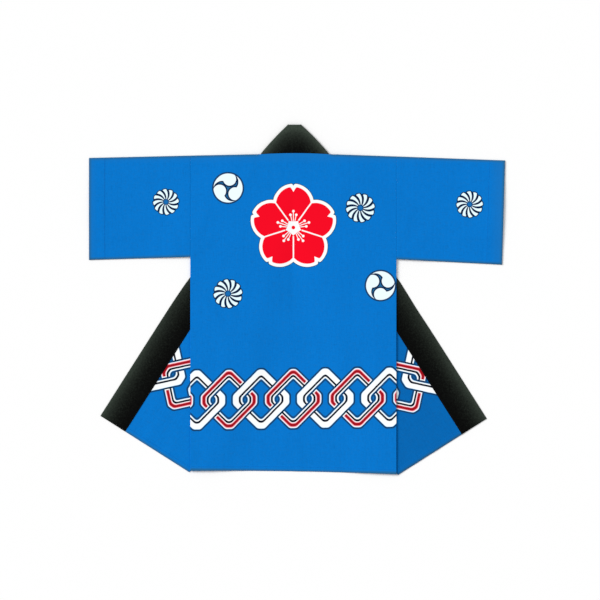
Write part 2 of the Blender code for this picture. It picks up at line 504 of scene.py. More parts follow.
    def edge_radius(self, side: Side, inward: float, up: float) -> float:
        """Return the radius at which the back turns over into the front at their common edge."""
        front = self.folded_at(inward, up, self.ply)[2]
        return (self.back_level_over(side, inward, up) - front) / 2

    def below_underarm(self, side: Side, up: float) -> float:
        """Return 1 along the side seam and 0 along the armhole, with a soft step at the underarm."""
        return smooth((side.underarm - side.hem - up) / self.underarm_ease)


# ---- Cloth meshes ----


class Knot(NamedTuple):
    """One point of a cloth's grid: what place it stands for, and where it falls in the print."""

    key: tuple[float, ...]
    printed: tuple[float, float]


def new_piece(
    name: str, points: Sequence[Vector], faces: Sequence[Sequence[int]], *finishes: Material
) -> Object:
    """Make a mesh object and link it to the scene.

    Args:
        name: Its name.
        points: Its points.
        faces: Its faces, as numbers of points.
        finishes: Its finishes.

    Returns:
        The object.
    """
    mesh = bpy.data.meshes.new(name)
    mesh.from_pydata(points, [], faces)
    for finish in finishes:
        mesh.materials.append(finish)
    mesh.polygons.foreach_set("use_smooth", [True] * len(mesh.polygons))
    piece = bpy.data.objects.new(name, mesh)
    bpy.context.collection.objects.link(piece)
    log.info("%s: %d points", name, len(points))
    return piece


@dataclass(frozen=True)
class Cut:
    """Sizes that all the sheets share."""

    ply: float = 0.7 * MM
    hem_ply: float = 1.4 * MM
    hem_width: float = 16 * MM
    hem_step: float = 5 * MM
    pitch: float = 6.5 * MM
    edge_radius: float = 0.35 * MM
    seam_gap: float = 0.1 * MM
    seam_dip: float = 0.12 * MM
    seam_dip_width: float = 2.6 * MM
    near_edge: tuple[float, ...] = (0.06 * MM, 0.17 * MM, 0.35 * MM, 1.4 * MM, 2.6 * MM, 4.5 * MM)
    near_band_edge: tuple[float, ...] = (0.05 * MM, 0.2 * MM, 0.5 * MM, 1.0 * MM)
    band_edge_share: float = 0.2
    turns: int = 6

    def hem_lines(self, width: float) -> tuple[float, ...]:
        """Return the distances from an edge with a hem of that width at which a grid has a line."""
        return tuple(width - self.hem_step * share for share in shares(HEM_STEPS))

    def hemmed(self, distance: float, width: float | None = None) -> float:
        """Return the ply at a distance inside an edge with a hem of that width, or of the usual one."""
        past = (distance - (width or self.hem_width) + self.hem_step) / self.hem_step
        return mix(self.hem_ply, self.ply, smooth(past))

    def dip(self, distance: float) -> float:
        """Return how far cloth dips beside a pressed seam."""
        return self.seam_dip * (1 - smooth(distance / self.seam_dip_width))

    def band_ply_at(self, ply: float, from_edge: float, from_end: float) -> float:
        """Return the ply of a folded band at distances from its nearer edge and its end, both round."""
        least, radius = self.band_edge_share, ply / 2
        return ply * rounded(from_edge, radius, least) * rounded(from_end, radius, least)


@dataclass
class ClothPiece:
    """One sheet of cloth, made from rows of knots. Knots with one key become one point."""

    lay: Lay
    cut: Cut
    outside: Material
    reverse: Material
    points: list[Vector] = field(default_factory=list, init=False)
    plies: list[float] = field(default_factory=list, init=False)
    faces: list[list[int]] = field(default_factory=list, init=False)
    printed: list[float] = field(default_factory=list, init=False)
    index_of: dict[tuple[float, ...], int] = field(default_factory=dict, init=False)

    def rows(self) -> list[list[Knot]]:
        """Return the sheet's grid, row by row. Each kind of sheet has its own."""
        raise NotImplementedError

    def at(self, *key: float) -> tuple[Vector, float]:
        """Return the place in the frame of what a knot stands for, and the thickness of the cloth there."""
        raise NotImplementedError

    def index(self, key: tuple[float, ...]) -> int:
        """Return the number of the mesh point for a key, made when it is first asked for.

        Args:
            key: What the point stands for.

        Returns:
            Its number in the mesh.
        """
        near = tuple(round(value, KEY_DIGITS) for value in key)
        if near not in self.index_of:
            self.index_of[near] = len(self.points)
            place, ply = self.at(*key)
            self.points.append(place)
            self.plies.append(ply)
        return self.index_of[near]

    def weave(self, outside_up: bool) -> None:
        """Add faces between the rows.

        Args:
            outside_up: Whether a face takes its corners along the lower row first.
        """
        rows = self.rows()
        for low, high in zip(rows, rows[1:]):
            for step in range(len(low) - 1):
                corners: dict[int, Knot] = {}
                for knot in (low[step], low[step + 1], high[step + 1], high[step]):
                    corners.setdefault(self.index(knot.key), knot)
                if len(corners) < LEAST_CORNERS:
                    continue
                ring = list(corners.items())
                if not outside_up:
                    ring.reverse()
                self.faces.append([number for number, _ in ring])
                for _, knot in ring:
                    self.printed += knot.printed

    def make(self, name: str, node: str, slot: Slot, outside_up: bool) -> Object:
        """Make the sheet on the coat's body, with an even wall on both sides of its middle surface.

        Args:
            name: The piece's name.
            node: The solid that it stands for.
            slot: Its material slot; not used.
            outside_up: Whether a face takes its corners along the lower row first.

        Returns:
            The sheet.
        """
        self.weave(outside_up)
        piece = new_piece(name, self.points, self.faces, self.outside, self.reverse)
        piece.data.uv_layers.new(name=CLOTH_UV).data.foreach_set("uv", self.printed)
        thickest = max(self.plies)
        group = piece.vertex_groups.new(name="ply")
        for number, ply in enumerate(self.plies):
            group.add([number], ply / thickest, "REPLACE")
        wall = piece.modifiers.new("wall", "SOLIDIFY")
        wall.thickness = thickest
        wall.offset = 0.0
        wall.vertex_group = group.name
        wall.material_offset = 1
        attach(piece, BODY)
        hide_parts(node)
        return piece


# ---- Numbers worked out over a surface by maths nodes ----


Number = Union["Field", float]


class Maths(Enum):
    """What a maths node does, under the node's own names."""

    ADD = auto()
    SUBTRACT = auto()
    MULTIPLY = auto()
    DIVIDE = auto()
    MULTIPLY_ADD = auto()
    ABSOLUTE = auto()
    MINIMUM = auto()
    MAXIMUM = auto()
    SMOOTH_MAX = auto()
    GREATER_THAN = auto()
    FLOOR = auto()
    MODULO = auto()
    WRAP = auto()
    POWER = auto()
    SQRT = auto()
    SINE = auto()
    COSINE = auto()
    ARCTAN2 = auto()


class Field:
    """A number at every point of a surface, as one output of a node."""

    def __init__(self, tree: NodeTree, socket: NodeSocket) -> None:
        """Keep the node tree and the output that carries the number."""
        self.tree = tree
        self.socket = socket

    @staticmethod
    def work(tree: NodeTree, operation: Maths, *values: Number, clamp: bool = False) -> Field:
        """Add one maths node.

        Args:
            tree: Node tree that the node goes in.
            operation: The node's operation.
            values: Its inputs, fields or plain numbers.
            clamp: Whether the answer is kept from 0 to 1.

        Returns:
            The answer.
        """
        node = tree.nodes.new("ShaderNodeMath")
        node.operation = operation.name
        node.use_clamp = clamp
        for place, value in enumerate(values):
            if isinstance(value, Field):
                tree.links.new(value.socket, node.inputs[place])
            else:
                node.inputs[place].default_value = value
        return Field(tree, node.outputs[0])

    def step(self, operation: Maths, *others: Number, clamp: bool = False) -> Field:
        """Return the answer of an operation on this number and others."""
        return Field.work(self.tree, operation, self, *others, clamp=clamp)

    def __add__(self, other: Number) -> Field:
        """Return the sum."""
        return self.step(Maths.ADD, other)

    __radd__ = __add__

    def __sub__(self, other: Number) -> Field:
        """Return the difference."""
        return self.step(Maths.SUBTRACT, other)

    def __rsub__(self, other: Number) -> Field:
        """Return the difference of a plain number and this one."""
        return Field.work(self.tree, Maths.SUBTRACT, other, self)

    def __mul__(self, other: Number) -> Field:
        """Return the product."""
        return self.step(Maths.MULTIPLY, other)

    __rmul__ = __mul__

    def __truediv__(self, other: Number) -> Field:
        """Return the quotient."""
        return self.step(Maths.DIVIDE, other)

    def __abs__(self) -> Field:
        """Return the size of the number without its sign."""
        return self.step(Maths.ABSOLUTE)

    def __neg__(self) -> Field:
        """Return the number with its sign turned."""
        return self.step(Maths.MULTIPLY, -1.0)

    def least(self, other: Number) -> Field:
        """Return the smaller of two numbers."""
        return self.step(Maths.MINIMUM, other)

    def most(self, other: Number) -> Field:
        """Return the larger of two numbers."""
        return self.step(Maths.MAXIMUM, other)

    def above(self, edge: Number) -> Field:
        """Return 1 where the number is above the edge, else 0."""
        return self.step(Maths.GREATER_THAN, edge)

    def wrapped(self, low: float, high: float) -> Field:
        """Return the number brought between low and high by whole turns."""
        return self.step(Maths.WRAP, high, low)

    def inside(self, bleed: float) -> Field:
        """Return 1 where the number is negative and 0 where it isn't, with a soft edge of that width."""
        return self.step(Maths.MULTIPLY_ADD, -1.0 / bleed, 0.5, clamp=True)

    def choose(self, when_off: Number, when_on: Number) -> Field:
        """Return when_on where this number is 1 and when_off where it is 0."""
        return self.step(Maths.MULTIPLY_ADD, when_on - when_off, when_off)


class Spot(NamedTuple):
    """A place on the cloth as two fields."""

    x: Field
    y: Field

    def near(self, x: Number, y: Number) -> Spot:
        """Return this place as measured from another."""
        return Spot(self.x - x, self.y - y)

    def distance(self) -> Field:
        """Return how far the place is from where it is measured from."""
        return (self.x * self.x + self.y * self.y).step(Maths.SQRT)


class Colour(NamedTuple):
    """A colour in linear light."""

    red: float
    green: float
    blue: float

    @classmethod
    def seen(cls, red: int, green: int, blue: int) -> Colour:
        """Return the linear colour of a shade given as it is seen on a screen, from 0 to 255."""
        return cls(*(linear(level / SCREEN_LEVELS) for level in (red, green, blue)))

    def times(self, share: float) -> Colour:
        """Return the colour made brighter or darker."""
        return Colour(*(share * part for part in self))

    def toward(self, other: Colour, share: float) -> Colour:
        """Return the colour moved a share of the way to another."""
        return Colour(*(mix(own, aim, share) for own, aim in zip(self, other)))


class Stop(NamedTuple):
    """One stretch of a profile: up to what distance, in which colour, and how much it covers."""

    until: float
    colour: Colour
    cover: float


class MixSocket(IntEnum):
    """Which inputs and output a node that mixes colours uses."""

    SHARE = 0
    UNDER = 6
    OVER = 7
    MIXED = 2


@dataclass
class Dyeing:
    """The colours of one cloth, laid on one after another."""

    tree: NodeTree
    colour: NodeSocket

    @classmethod
    def over(cls, tree: NodeTree, ground: Colour) -> Dyeing:
        """Start from cloth of one colour.

        Args:
            tree: Node tree of the finish.
            ground: The colour.

        Returns:
            The dyeing, with nothing laid on yet.
        """
        base = tree.nodes.new("ShaderNodeRGB")
        base.outputs[0].default_value = (*ground, 1.0)
        return cls(tree, base.outputs[0])

    def colour_shader(self, shader: Node) -> None:
        """Give a shader the colours as they are now."""
        self.tree.links.new(self.colour, shader.inputs["Base Color"])

    def lay(self, mask: Field, colour: Colour | NodeSocket) -> None:
        """Lay a colour over what is there.

        Args:
            mask: 1 where the colour covers, 0 where it doesn't.
            colour: The colour, or an output that carries it.
        """
        node = self.tree.nodes.new("ShaderNodeMix")
        node.data_type = "RGBA"
        self.tree.links.new(mask.socket, node.inputs[MixSocket.SHARE])
        self.tree.links.new(self.colour, node.inputs[MixSocket.UNDER])
        over = node.inputs[MixSocket.OVER]
        if isinstance(colour, NodeSocket):
            self.tree.links.new(colour, over)
        else:
            over.default_value = (*colour, 1.0)
        self.colour = node.outputs[MixSocket.MIXED]


def ramp(
    distance: Field, start: float, stops: Sequence[Stop], bleed: float
) -> tuple[Field, NodeSocket]:
    """Turn a distance into colours, one for each stretch.

    Args:
        distance: The distance, such as from the edge of a link.
        start: Where the first stretch begins. Before it and after the last nothing is covered.
        stops: The stretches in order.
        bleed: Width of the soft change from one stretch to the next.

    Returns:
        How much is covered, and the colour.
    """
    end = stops[-1].until + bleed
    low = start - bleed
    node = distance.tree.nodes.new("ShaderNodeValToRGB")
    band = node.color_ramp
    half = bleed / 2
    marks: list[tuple[float, Colour, float]] = [(start - half, stops[0].colour, 0.0)]
    edge = start
    for stop in stops:
        marks.append((edge + half, stop.colour, stop.cover))
        marks.append((stop.until - half, stop.colour, stop.cover))
        edge = stop.until
    marks.append((edge + half, stops[-1].colour, 0.0))
    while len(band.elements) < len(marks):
        band.elements.new(1.0)
    for element, (place, colour, cover) in zip(band.elements, marks):
        element.position = (place - low) / (end - low)
        element.color = (*colour, cover)
    share = distance.step(Maths.MULTIPLY_ADD, 1.0 / (end - low), -low / (end - low), clamp=True)
    distance.tree.links.new(share.socket, node.inputs[0])
    return Field(distance.tree, node.outputs[1]), node.outputs[0]


# ---- The print ----


@dataclass(frozen=True)
class Dyes:
    """The colours of the printed cotton and how far one bleeds into the next."""

    blue: Colour = Colour.seen(3, 119, 207)
    worn_blue: Colour = Colour.seen(28, 112, 182)
    rim_blue: Colour = Colour.seen(40, 96, 132)
    white: Colour = Colour.seen(246, 249, 249)
    cool_white: Colour = Colour.seen(233, 247, 253)
    ice: Colour = Colour.seen(228, 249, 255)
    ink: Colour = Colour.seen(4, 30, 64)
    red: Colour = Colour.seen(240, 6, 34)
    deep_red: Colour = Colour.seen(160, 14, 26)
    pink: Colour = Colour.seen(255, 150, 166)
    dark: Colour = Colour.seen(4, 14, 34)
    navy: Colour = Colour.seen(20, 62, 104)
    pale_blue: Colour = Colour.seen(50, 182, 246)
    grey_blue: Colour = Colour.seen(32, 98, 150)
    bleed: float = 0.5 * MM


@dataclass(frozen=True)
class ChainBand:
    """A band of interlocked eight-sided links, white and red by turns."""

    first_x: float
    middle_y: float
    tilt: float
    pitch: float = 96.2 * MM
    half_width: float = 85.8 * MM
    height_above: float = 91.2 * MM
    height_below: float = 88.6 * MM
    half_diagonal: float = 99.4 * MM
    wide_sides: float = 0.88
    corner: float = 6 * MM
    outline: float = 4.0 * MM
    rim: float = 0.8 * MM
    pale_rim: float = 1.5 * MM
    crossing_line: float = 3.6 * MM
    red_end: float = 3.0 * MM
    pink_from: float = 3.7 * MM
    red_from: float = 5.7 * MM
    red_until: float = 12.9 * MM
    pink_until: float = 14.5 * MM
    bar: float = 16.4 * MM
    line_until: float = 21.9 * MM
    white_until: float = 25.5 * MM
    edge_until: float = 26.3 * MM
    inner_outline_until: float = 31.5 * MM
    inner_outline_cover: float = 0.9

    def depth(self, across: Field, off_middle: Field, height: Field) -> Field:
        """Return how deep inside one link's outer edge a place lies.

        Args:
            across: Distance from the link's middle, along the band.
            off_middle: Distance from the band's middle line, without sign.
            height: How far the link reaches from the middle line.

        Returns:
            The depth, negative outside the link.
        """
        reach = abs(across)
        straight = (reach - self.half_width).most(off_middle - height)
        straight = straight.most(straight * self.wide_sides)
        slanted = (reach + off_middle - self.half_diagonal) * sqrt(0.5)
        return -straight.step(Maths.SMOOTH_MAX, slanted, self.corner)

    def lay(self, spot: Spot, dyeing: Dyeing, dyes: Dyes) -> None:
        """Print the band. A link lies over its left neighbour above the middle and under it below.

        Args:
            spot: Place on the cloth.
            dyeing: The cloth's colours so far.
            dyes: The colours to print with.
        """
        local = spot.near(self.first_x, self.middle_y)
        off_middle = local.y - spot.x * self.tilt
        count = (local.x / self.pitch).step(Maths.FLOOR)
        from_left = local.x - count * self.pitch
        left_red = abs(count.step(Maths.MODULO, 2.0))
        upper = off_middle.above(0.0)
        height = upper.choose(self.height_below, self.height_above)
        left = self.depth(from_left, abs(off_middle), height)
        right = self.depth(from_left - self.pitch, abs(off_middle), height)
        over, under = upper.choose(left, right), upper.choose(right, left)
        over_red = abs(upper - left_red)
        covers = over.above(-self.outline) * (self.inner_outline_until - over).above(0.0)
        depth = covers.choose(under, over)
        past_ends = (-self.outline - over).most(over - self.inner_outline_until) - self.red_end
        under_red = (1.0 - over_red) * past_ends.above(0.0)
        red = covers.choose(under_red, over_red)
        rims = (Stop(self.rim, dyes.navy, 1.0), Stop(self.pale_rim, dyes.pale_blue, 1.0))
        inner = (
            Stop(self.line_until, dyes.dark, 1.0),
            Stop(self.white_until, dyes.white, 1.0),
            Stop(self.edge_until, dyes.pale_blue, 1.0),
            Stop(self.inner_outline_until, dyes.navy, self.inner_outline_cover),
        )
        white_bar = (*rims, Stop(self.bar, dyes.white, 1.0), *inner)
        red_bar = (
            *rims,
            Stop(self.pink_from, dyes.white, 1.0),
            Stop(self.red_from, dyes.pink, 1.0),
            Stop(self.red_until, dyes.deep_red, 1.0),
            Stop(self.pink_until, dyes.pink, 1.0),
            Stop(self.bar, dyes.white, 1.0),
            *inner,
        )
        cover, white_colour = ramp(depth, -self.outline, white_bar, dyes.bleed)
        _, red_colour = ramp(depth, -self.outline, red_bar, dyes.bleed)
        bars = Dyeing(dyeing.tree, white_colour)
        bars.lay(red, red_colour)
        on_under = under.above(0.0) * (self.edge_until - under).above(0.0)
        beside_over = (over.above(-self.crossing_line) * (self.rim - over).above(0.0)).most(
            over.above(self.edge_until) * (self.edge_until + self.crossing_line - over).above(0.0)
        )
        bars.lay(on_under * beside_over, dyes.dark)
        dyeing.lay(cover, bars.colour)


class Placing(NamedTuple):
    """Where a roundel is printed, how large it is, and how far it is turned."""

    x: float
    y: float
    radius: float
    turned: float


@dataclass(frozen=True)
class Roundels:
    """One or two roundels of a kind. With two, the first is the left one."""

    placings: tuple[Placing, ...]

    def polar(self, spot: Spot) -> tuple[Field, Field]:
        """Return a place as seen from the nearer roundel.

        Args:
            spot: Place on the cloth.

        Returns:
            Distance from its middle as a share of its radius, and angle from its first petal or comma.
        """
        left, right = self.placings[0], self.placings[-1]
        x, y, radius, turned = left
        if len(self.placings) > 1:
            nearer = spot.x.above((left.x + right.x) / 2)
            x, y, radius, turned = (nearer.choose(own, other) for own, other in zip(left, right))
        local = spot.near(x, y)
        return local.distance() / radius, local.y.step(Maths.ARCTAN2, local.x) - turned

    def bleed(self, dyes: Dyes) -> float:
        """Return the bleed as a share of the radius."""
        return dyes.bleed / self.placings[0].radius


@dataclass(frozen=True)
class FlowerRoundels(Roundels):
    """Round flowers whose petals curl one way, parted by dark lines."""

    petals: int = 12
    line_from: float = 0.15
    line_share: float = 0.35
    line_thinning: float = 0.17
    curl_from: float = 0.31
    curl_length: float = 0.64
    curl: float = radians(12.3)
    curl_gain: float = radians(8.4)
    reach: float = 0.945
    scallop: float = 0.05
    slant: float = 0.085
    eye: float = 0.22
    eye_point: float = 0.06
    eye_tint: float = 0.5
    outline: float = 0.07

    def lay(self, spot: Spot, dyeing: Dyeing, dyes: Dyes) -> None:
        """Print the flowers.

        Args:
            spot: Place on the cloth.
            dyeing: The cloth's colours so far.
            dyes: The colours to print with.
        """
        away, angle = self.polar(spot)
        bleed = self.bleed(dyes)
        run = (away - self.curl_from) / self.curl_length
        curled = run * (run * self.curl_gain + self.curl)
        share = ((angle - curled) * (self.petals / tau)).wrapped(0.0, 1.0)
        off_line = 0.5 - abs(share - 0.5)
        to_petal_edge = 1.0 - off_line * 2.0
        edge_squared = to_petal_edge * to_petal_edge
        rim = self.reach - edge_squared * self.scallop - (share - 0.5) * self.slant
        eye = edge_squared * self.eye_point + self.eye
        past_eye = eye - away
        outline = (away - rim - self.outline).inside(bleed) * past_eye.inside(bleed)
        dyeing.lay(outline, dyes.navy)
        dyeing.lay((away - eye).inside(bleed) * self.eye_tint, dyes.grey_blue)
        petal = (away - rim).most(past_eye).inside(bleed)
        dyeing.lay(petal, dyes.ice)
        to_line = (off_line - self.line_share + away * self.line_thinning) * away * (tau / self.petals)
        line = to_line.most(self.line_from - away).most(away - rim - self.outline).inside(bleed)
        dyeing.lay(line, dyes.ink)


@dataclass(frozen=True)
class CommaRoundels(Roundels):
    """Round crests of three commas chasing one another."""

    commas: int = 3
    head: float = 0.42
    head_away: float = 0.585
    hollow: float = 0.571
    hollow_away: float = 0.411
    hollow_at: float = radians(115)
    tail_end: float = radians(105)
    disc: float = 0.945
    rim: float = 1.05
    line: float = 0.085

    def lay(self, spot: Spot, dyeing: Dyeing, dyes: Dyes) -> None:
        """Print the crests.

        Args:
            spot: Place on the cloth.
            dyeing: The cloth's colours so far.
            dyes: The colours to print with.
        """
        away, angle = self.polar(spot)
        bleed = self.bleed(dyes)
        sector = tau / self.commas
        turned = angle.wrapped(0.0, sector)
        local = Spot(away * turned.step(Maths.COSINE), away * turned.step(Maths.SINE))

        def circle(distance: float, at: float, radius: float) -> Field:
            """Return the distance outside a circle whose middle lies at that distance and angle."""
            return local.near(distance * cos(at), distance * sin(at)).distance() - radius

        own_head = circle(self.head_away, 0.0, self.head)
        next_head = circle(self.head_away, sector, self.head)
        hollow = -circle(self.hollow_away, self.hollow_at, self.hollow)
        tail = hollow.most((turned - self.tail_end) * away)
        comma = own_head.least(next_head).least(tail)
        dyeing.lay((away - self.rim).inside(bleed), dyes.navy)
        dyeing.lay((away - self.disc).inside(bleed), dyes.ink)
        dyeing.lay((self.line - comma).most(away - self.disc).inside(bleed), dyes.grey_blue)
        dyeing.lay(comma.most(away - self.disc).inside(bleed), dyes.cool_white)


@dataclass(frozen=True)
class Blossom:
    """A large five-petalled blossom with notched petals, a pale border and a dark outline."""

    x: float
    y: float
    petals: int = 5
    petal_away: float = 70 * MM
    petal_radius: float = 52 * MM
    notch_depth: float = 15 * MM
    notch_half_angle: float = radians(31)
    border: float = 9.5 * MM
    outline: float = 1.6 * MM
    corner: float = 6 * MM
    slit_half: float = 2.0 * MM
    slit_from: float = 26 * MM
    stamen_angle: float = radians(13)
    stamen_half: float = 1.2 * MM
    stamen_from: float = 15 * MM
    stamen_until: float = 49 * MM
    side_stamen_until: float = 39 * MM
    anther: float = 3.9 * MM
    eye: float = 11 * MM
    pupil: float = 5.5 * MM

    def lay(self, spot: Spot, dyeing: Dyeing, dyes: Dyes) -> None:
        """Print the blossom.

        Args:
            spot: Place on the cloth.
            dyeing: The cloth's colours so far.
            dyes: The colours to print with.
        """
        local = spot.near(self.x, self.y)
        away = local.distance()
        half = pi / self.petals
        angle = local.x.step(Maths.ARCTAN2, local.y).wrapped(-half, half)
        aside = abs(away * angle.step(Maths.SINE))
        ahead = away * angle.step(Maths.COSINE)
        petal = Spot(ahead - self.petal_away, aside).distance() - self.petal_radius
        notch_from = self.petal_away + self.petal_radius - self.notch_depth
        notch = (ahead - notch_from) * sin(self.notch_half_angle)
        notch = notch - aside * cos(self.notch_half_angle)
        edge = petal.step(Maths.SMOOTH_MAX, notch, self.corner)
        dyeing.lay((edge - self.border - self.outline).inside(dyes.bleed), dyes.dark)
        dyeing.lay((edge - self.border).inside(dyes.bleed), dyes.white)
        dyeing.lay(edge.inside(dyes.bleed), dyes.red)
        to_slit = away * (half - abs(angle)).step(Maths.SINE) - self.slit_half
        white = to_slit.most(self.slit_from - away)
        for at, until in ((0.0, self.stamen_until), (self.stamen_angle, self.side_stamen_until)):
            off = abs(away * (abs(angle) - at).step(Maths.SINE))
            white = white.least((off - self.stamen_half).most(self.stamen_from - away).most(away - until))
            tip = Spot(away - until, off).distance() - self.anther
            white = white.least(tip)
        inside = white.most(edge)
        dyeing.lay(inside.inside(dyes.bleed), dyes.white)
        dyeing.lay((away - self.eye).inside(dyes.bleed), dyes.white)
        dyeing.lay((away - self.pupil).inside(dyes.bleed), dyes.red)


Motif = Union[ChainBand, FlowerRoundels, CommaRoundels, Blossom]

BACK_CHAIN = ChainBand(first_x=-289.2 * MM, middle_y=220.8 * MM, tilt=0.014)
LEFT_FRONT_CHAIN = ChainBand(
    first_x=-249.4 * MM,
    middle_y=216.6 * MM,
    tilt=-0.008,
    pitch=97.7 * MM,
    half_width=86.3 * MM,
    height_above=92.2 * MM,
    height_below=89.6 * MM,
)
RIGHT_FRONT_CHAIN = replace(LEFT_FRONT_CHAIN, first_x=-248.4 * MM, middle_y=214.0 * MM, tilt=-0.01)
BACK_FLOWERS = FlowerRoundels(
    placings=(
        Placing(-196.2 * MM, 536.8 * MM, 44.5 * MM, radians(5.5)),
        Placing(200.8 * MM, 793.8 * MM, 44.5 * MM, radians(6)),
    )
)
BACK_COMMAS = CommaRoundels(
    placings=(
        Placing(-195.8 * MM, 853.4 * MM, 46 * MM, radians(80)),
        Placing(261.0 * MM, 561.0 * MM, 45.5 * MM, radians(30)),
    )
)
EMBLEM = Blossom(x=0.0, y=735 * MM)
LEFT_SLEEVE_FLOWER = FlowerRoundels((Placing(-382.2 * MM, 811.8 * MM, 40 * MM, radians(3)),))
RIGHT_SLEEVE_FLOWER = FlowerRoundels((Placing(528.6 * MM, 804.6 * MM, 41 * MM, radians(0.5)),))


# ---- Finishes ----


def cloth_spot(tree: NodeTree) -> Spot:
    """Return the place on the flat cut of the cloth, read from the cloth's own map.

    Args:
        tree: Node tree of the finish.

    Returns:
        The place.
    """
    read = tree.nodes.new("ShaderNodeUVMap")
    read.uv_map = CLOTH_UV
    parts = tree.nodes.new("ShaderNodeSeparateXYZ")
    tree.links.new(read.outputs[0], parts.inputs[0])
    return Spot(Field(tree, parts.outputs[0]), Field(tree, parts.outputs[1]))


@dataclass(frozen=True)
class Surface:
    """How a finish takes the light."""

    roughness: float
    specular: float
    sheen: float = 0.0
    sheen_roughness: float = 0.5

    def fresh(self, name: str) -> tuple[Material, Node]:
        """Make a material with this surface.

        Args:
            name: Its name.

        Returns:
            The material and its shader node.
        """
        made = bpy.data.materials.new(name)
        made.use_nodes = True
        shader = made.node_tree.nodes["Principled BSDF"]
        shader.inputs["Roughness"].default_value = self.roughness
        shader.inputs["Specular IOR Level"].default_value = self.specular
        shader.inputs["Sheen Weight"].default_value = self.sheen
        shader.inputs["Sheen Roughness"].default_value = self.sheen_roughness
        return made, shader


class Clouds(NamedTuple):
    """Cloudy noise: clouds in a metre across and along, how fine their edges are, and which slice it is."""

    across: float
    along: float
    detail: float = 2.0
    seed: float = 0.0

    def over(self, spot: Spot) -> Field:
        """Return the noise over the cloth.

        Args:
            spot: Place on the cloth.

        Returns:
            The noise, about 0.5 on average.
        """
        tree = spot.x.tree
        joined = tree.nodes.new("ShaderNodeCombineXYZ")
        tree.links.new((spot.x * self.across).socket, joined.inputs[0])
        tree.links.new((spot.y * self.along).socket, joined.inputs[1])
        joined.inputs[2].default_value = self.seed
        node = tree.nodes.new("ShaderNodeTexNoise")
        node.inputs["Scale"].default_value = 1.0
        node.inputs["Detail"].default_value = self.detail
        tree.links.new(joined.outputs[0], node.inputs["Vector"])
        return Field(tree, node.outputs[0])

    def about_nothing(self, spot: Spot) -> Field:
        """Return the noise brought to 0 on average."""
        return self.over(spot) - 0.5

    def patches(self, spot: Spot) -> Field:
        """Return the upper half of the noise, with nothing between its patches."""
        return self.about_nothing(spot).most(0.0)


class Fault(NamedTuple):
    """One kind of unevenness in a dyed cloth: its shape, how much it covers, and its colour."""

    clouds: Clouds
    depth: float
    colour: Colour
    patchy: bool = True

    def lay(self, spot: Spot, dyeing: Dyeing, tone_and_painted_shade: float) -> None:
        """Lay the unevenness, darkened or lightened by the cloth's tone and painted shade."""
        shape = self.clouds.patches(spot) if self.patchy else self.clouds.over(spot)
        dyeing.lay(shape * self.depth, self.colour.times(tone_and_painted_shade))


@dataclass(frozen=True)
class Weave:
    """A plain weave of round threads."""

    thread: float = 0.5 * MM
    depth: float = 0.05 * MM
    strength: float = 0.5

    def height(self, spot: Spot) -> Field:
        """Return the height of the threads over the cloth, from 0 between threads to 1."""
        warp, weft = ((along * (pi / self.thread)).step(Maths.SINE) for along in spot)
        return abs(warp * weft).step(Maths.SQRT)

    def emboss(self, shader: Node, height: Field) -> None:
        """Give a shader the relief of the threads.

        Args:
            shader: The shader.
            height: Height over the cloth.
        """
        tree = height.tree
        bump = tree.nodes.new("ShaderNodeBump")
        bump.inputs["Strength"].default_value = self.strength
        bump.inputs["Distance"].default_value = self.depth
        tree.links.new(height.socket, bump.inputs["Height"])
        tree.links.new(bump.outputs[0], shader.inputs["Normal"])


class Rim(NamedTuple):
    """A straight edge of a flat cut, and how far from the centre line it starts to count."""

    start: tuple[float, float]
    end: tuple[float, float]
    beyond: float = -1.0

    def near(self, spot: Spot, width: float) -> Field:
        """Return 1 on the edge, falling evenly to 0 at a distance from it.

        Args:
            spot: Place on the cloth.
            width: The distance.

        Returns:
            How near the edge the place is.
        """
        across, along = self.end[0] - self.start[0], self.end[1] - self.start[1]
        length = hypot(across, along)
        local = spot.near(*self.start)
        off = abs(local.y * (across / length) - local.x * (along / length))
        nearness = off.step(Maths.MULTIPLY_ADD, -1.0 / width, 1.0, clamp=True)
        past_start = (1.0 / width, -self.beyond / width)
        return nearness * abs(spot.x).step(Maths.MULTIPLY_ADD, *past_start, clamp=True)


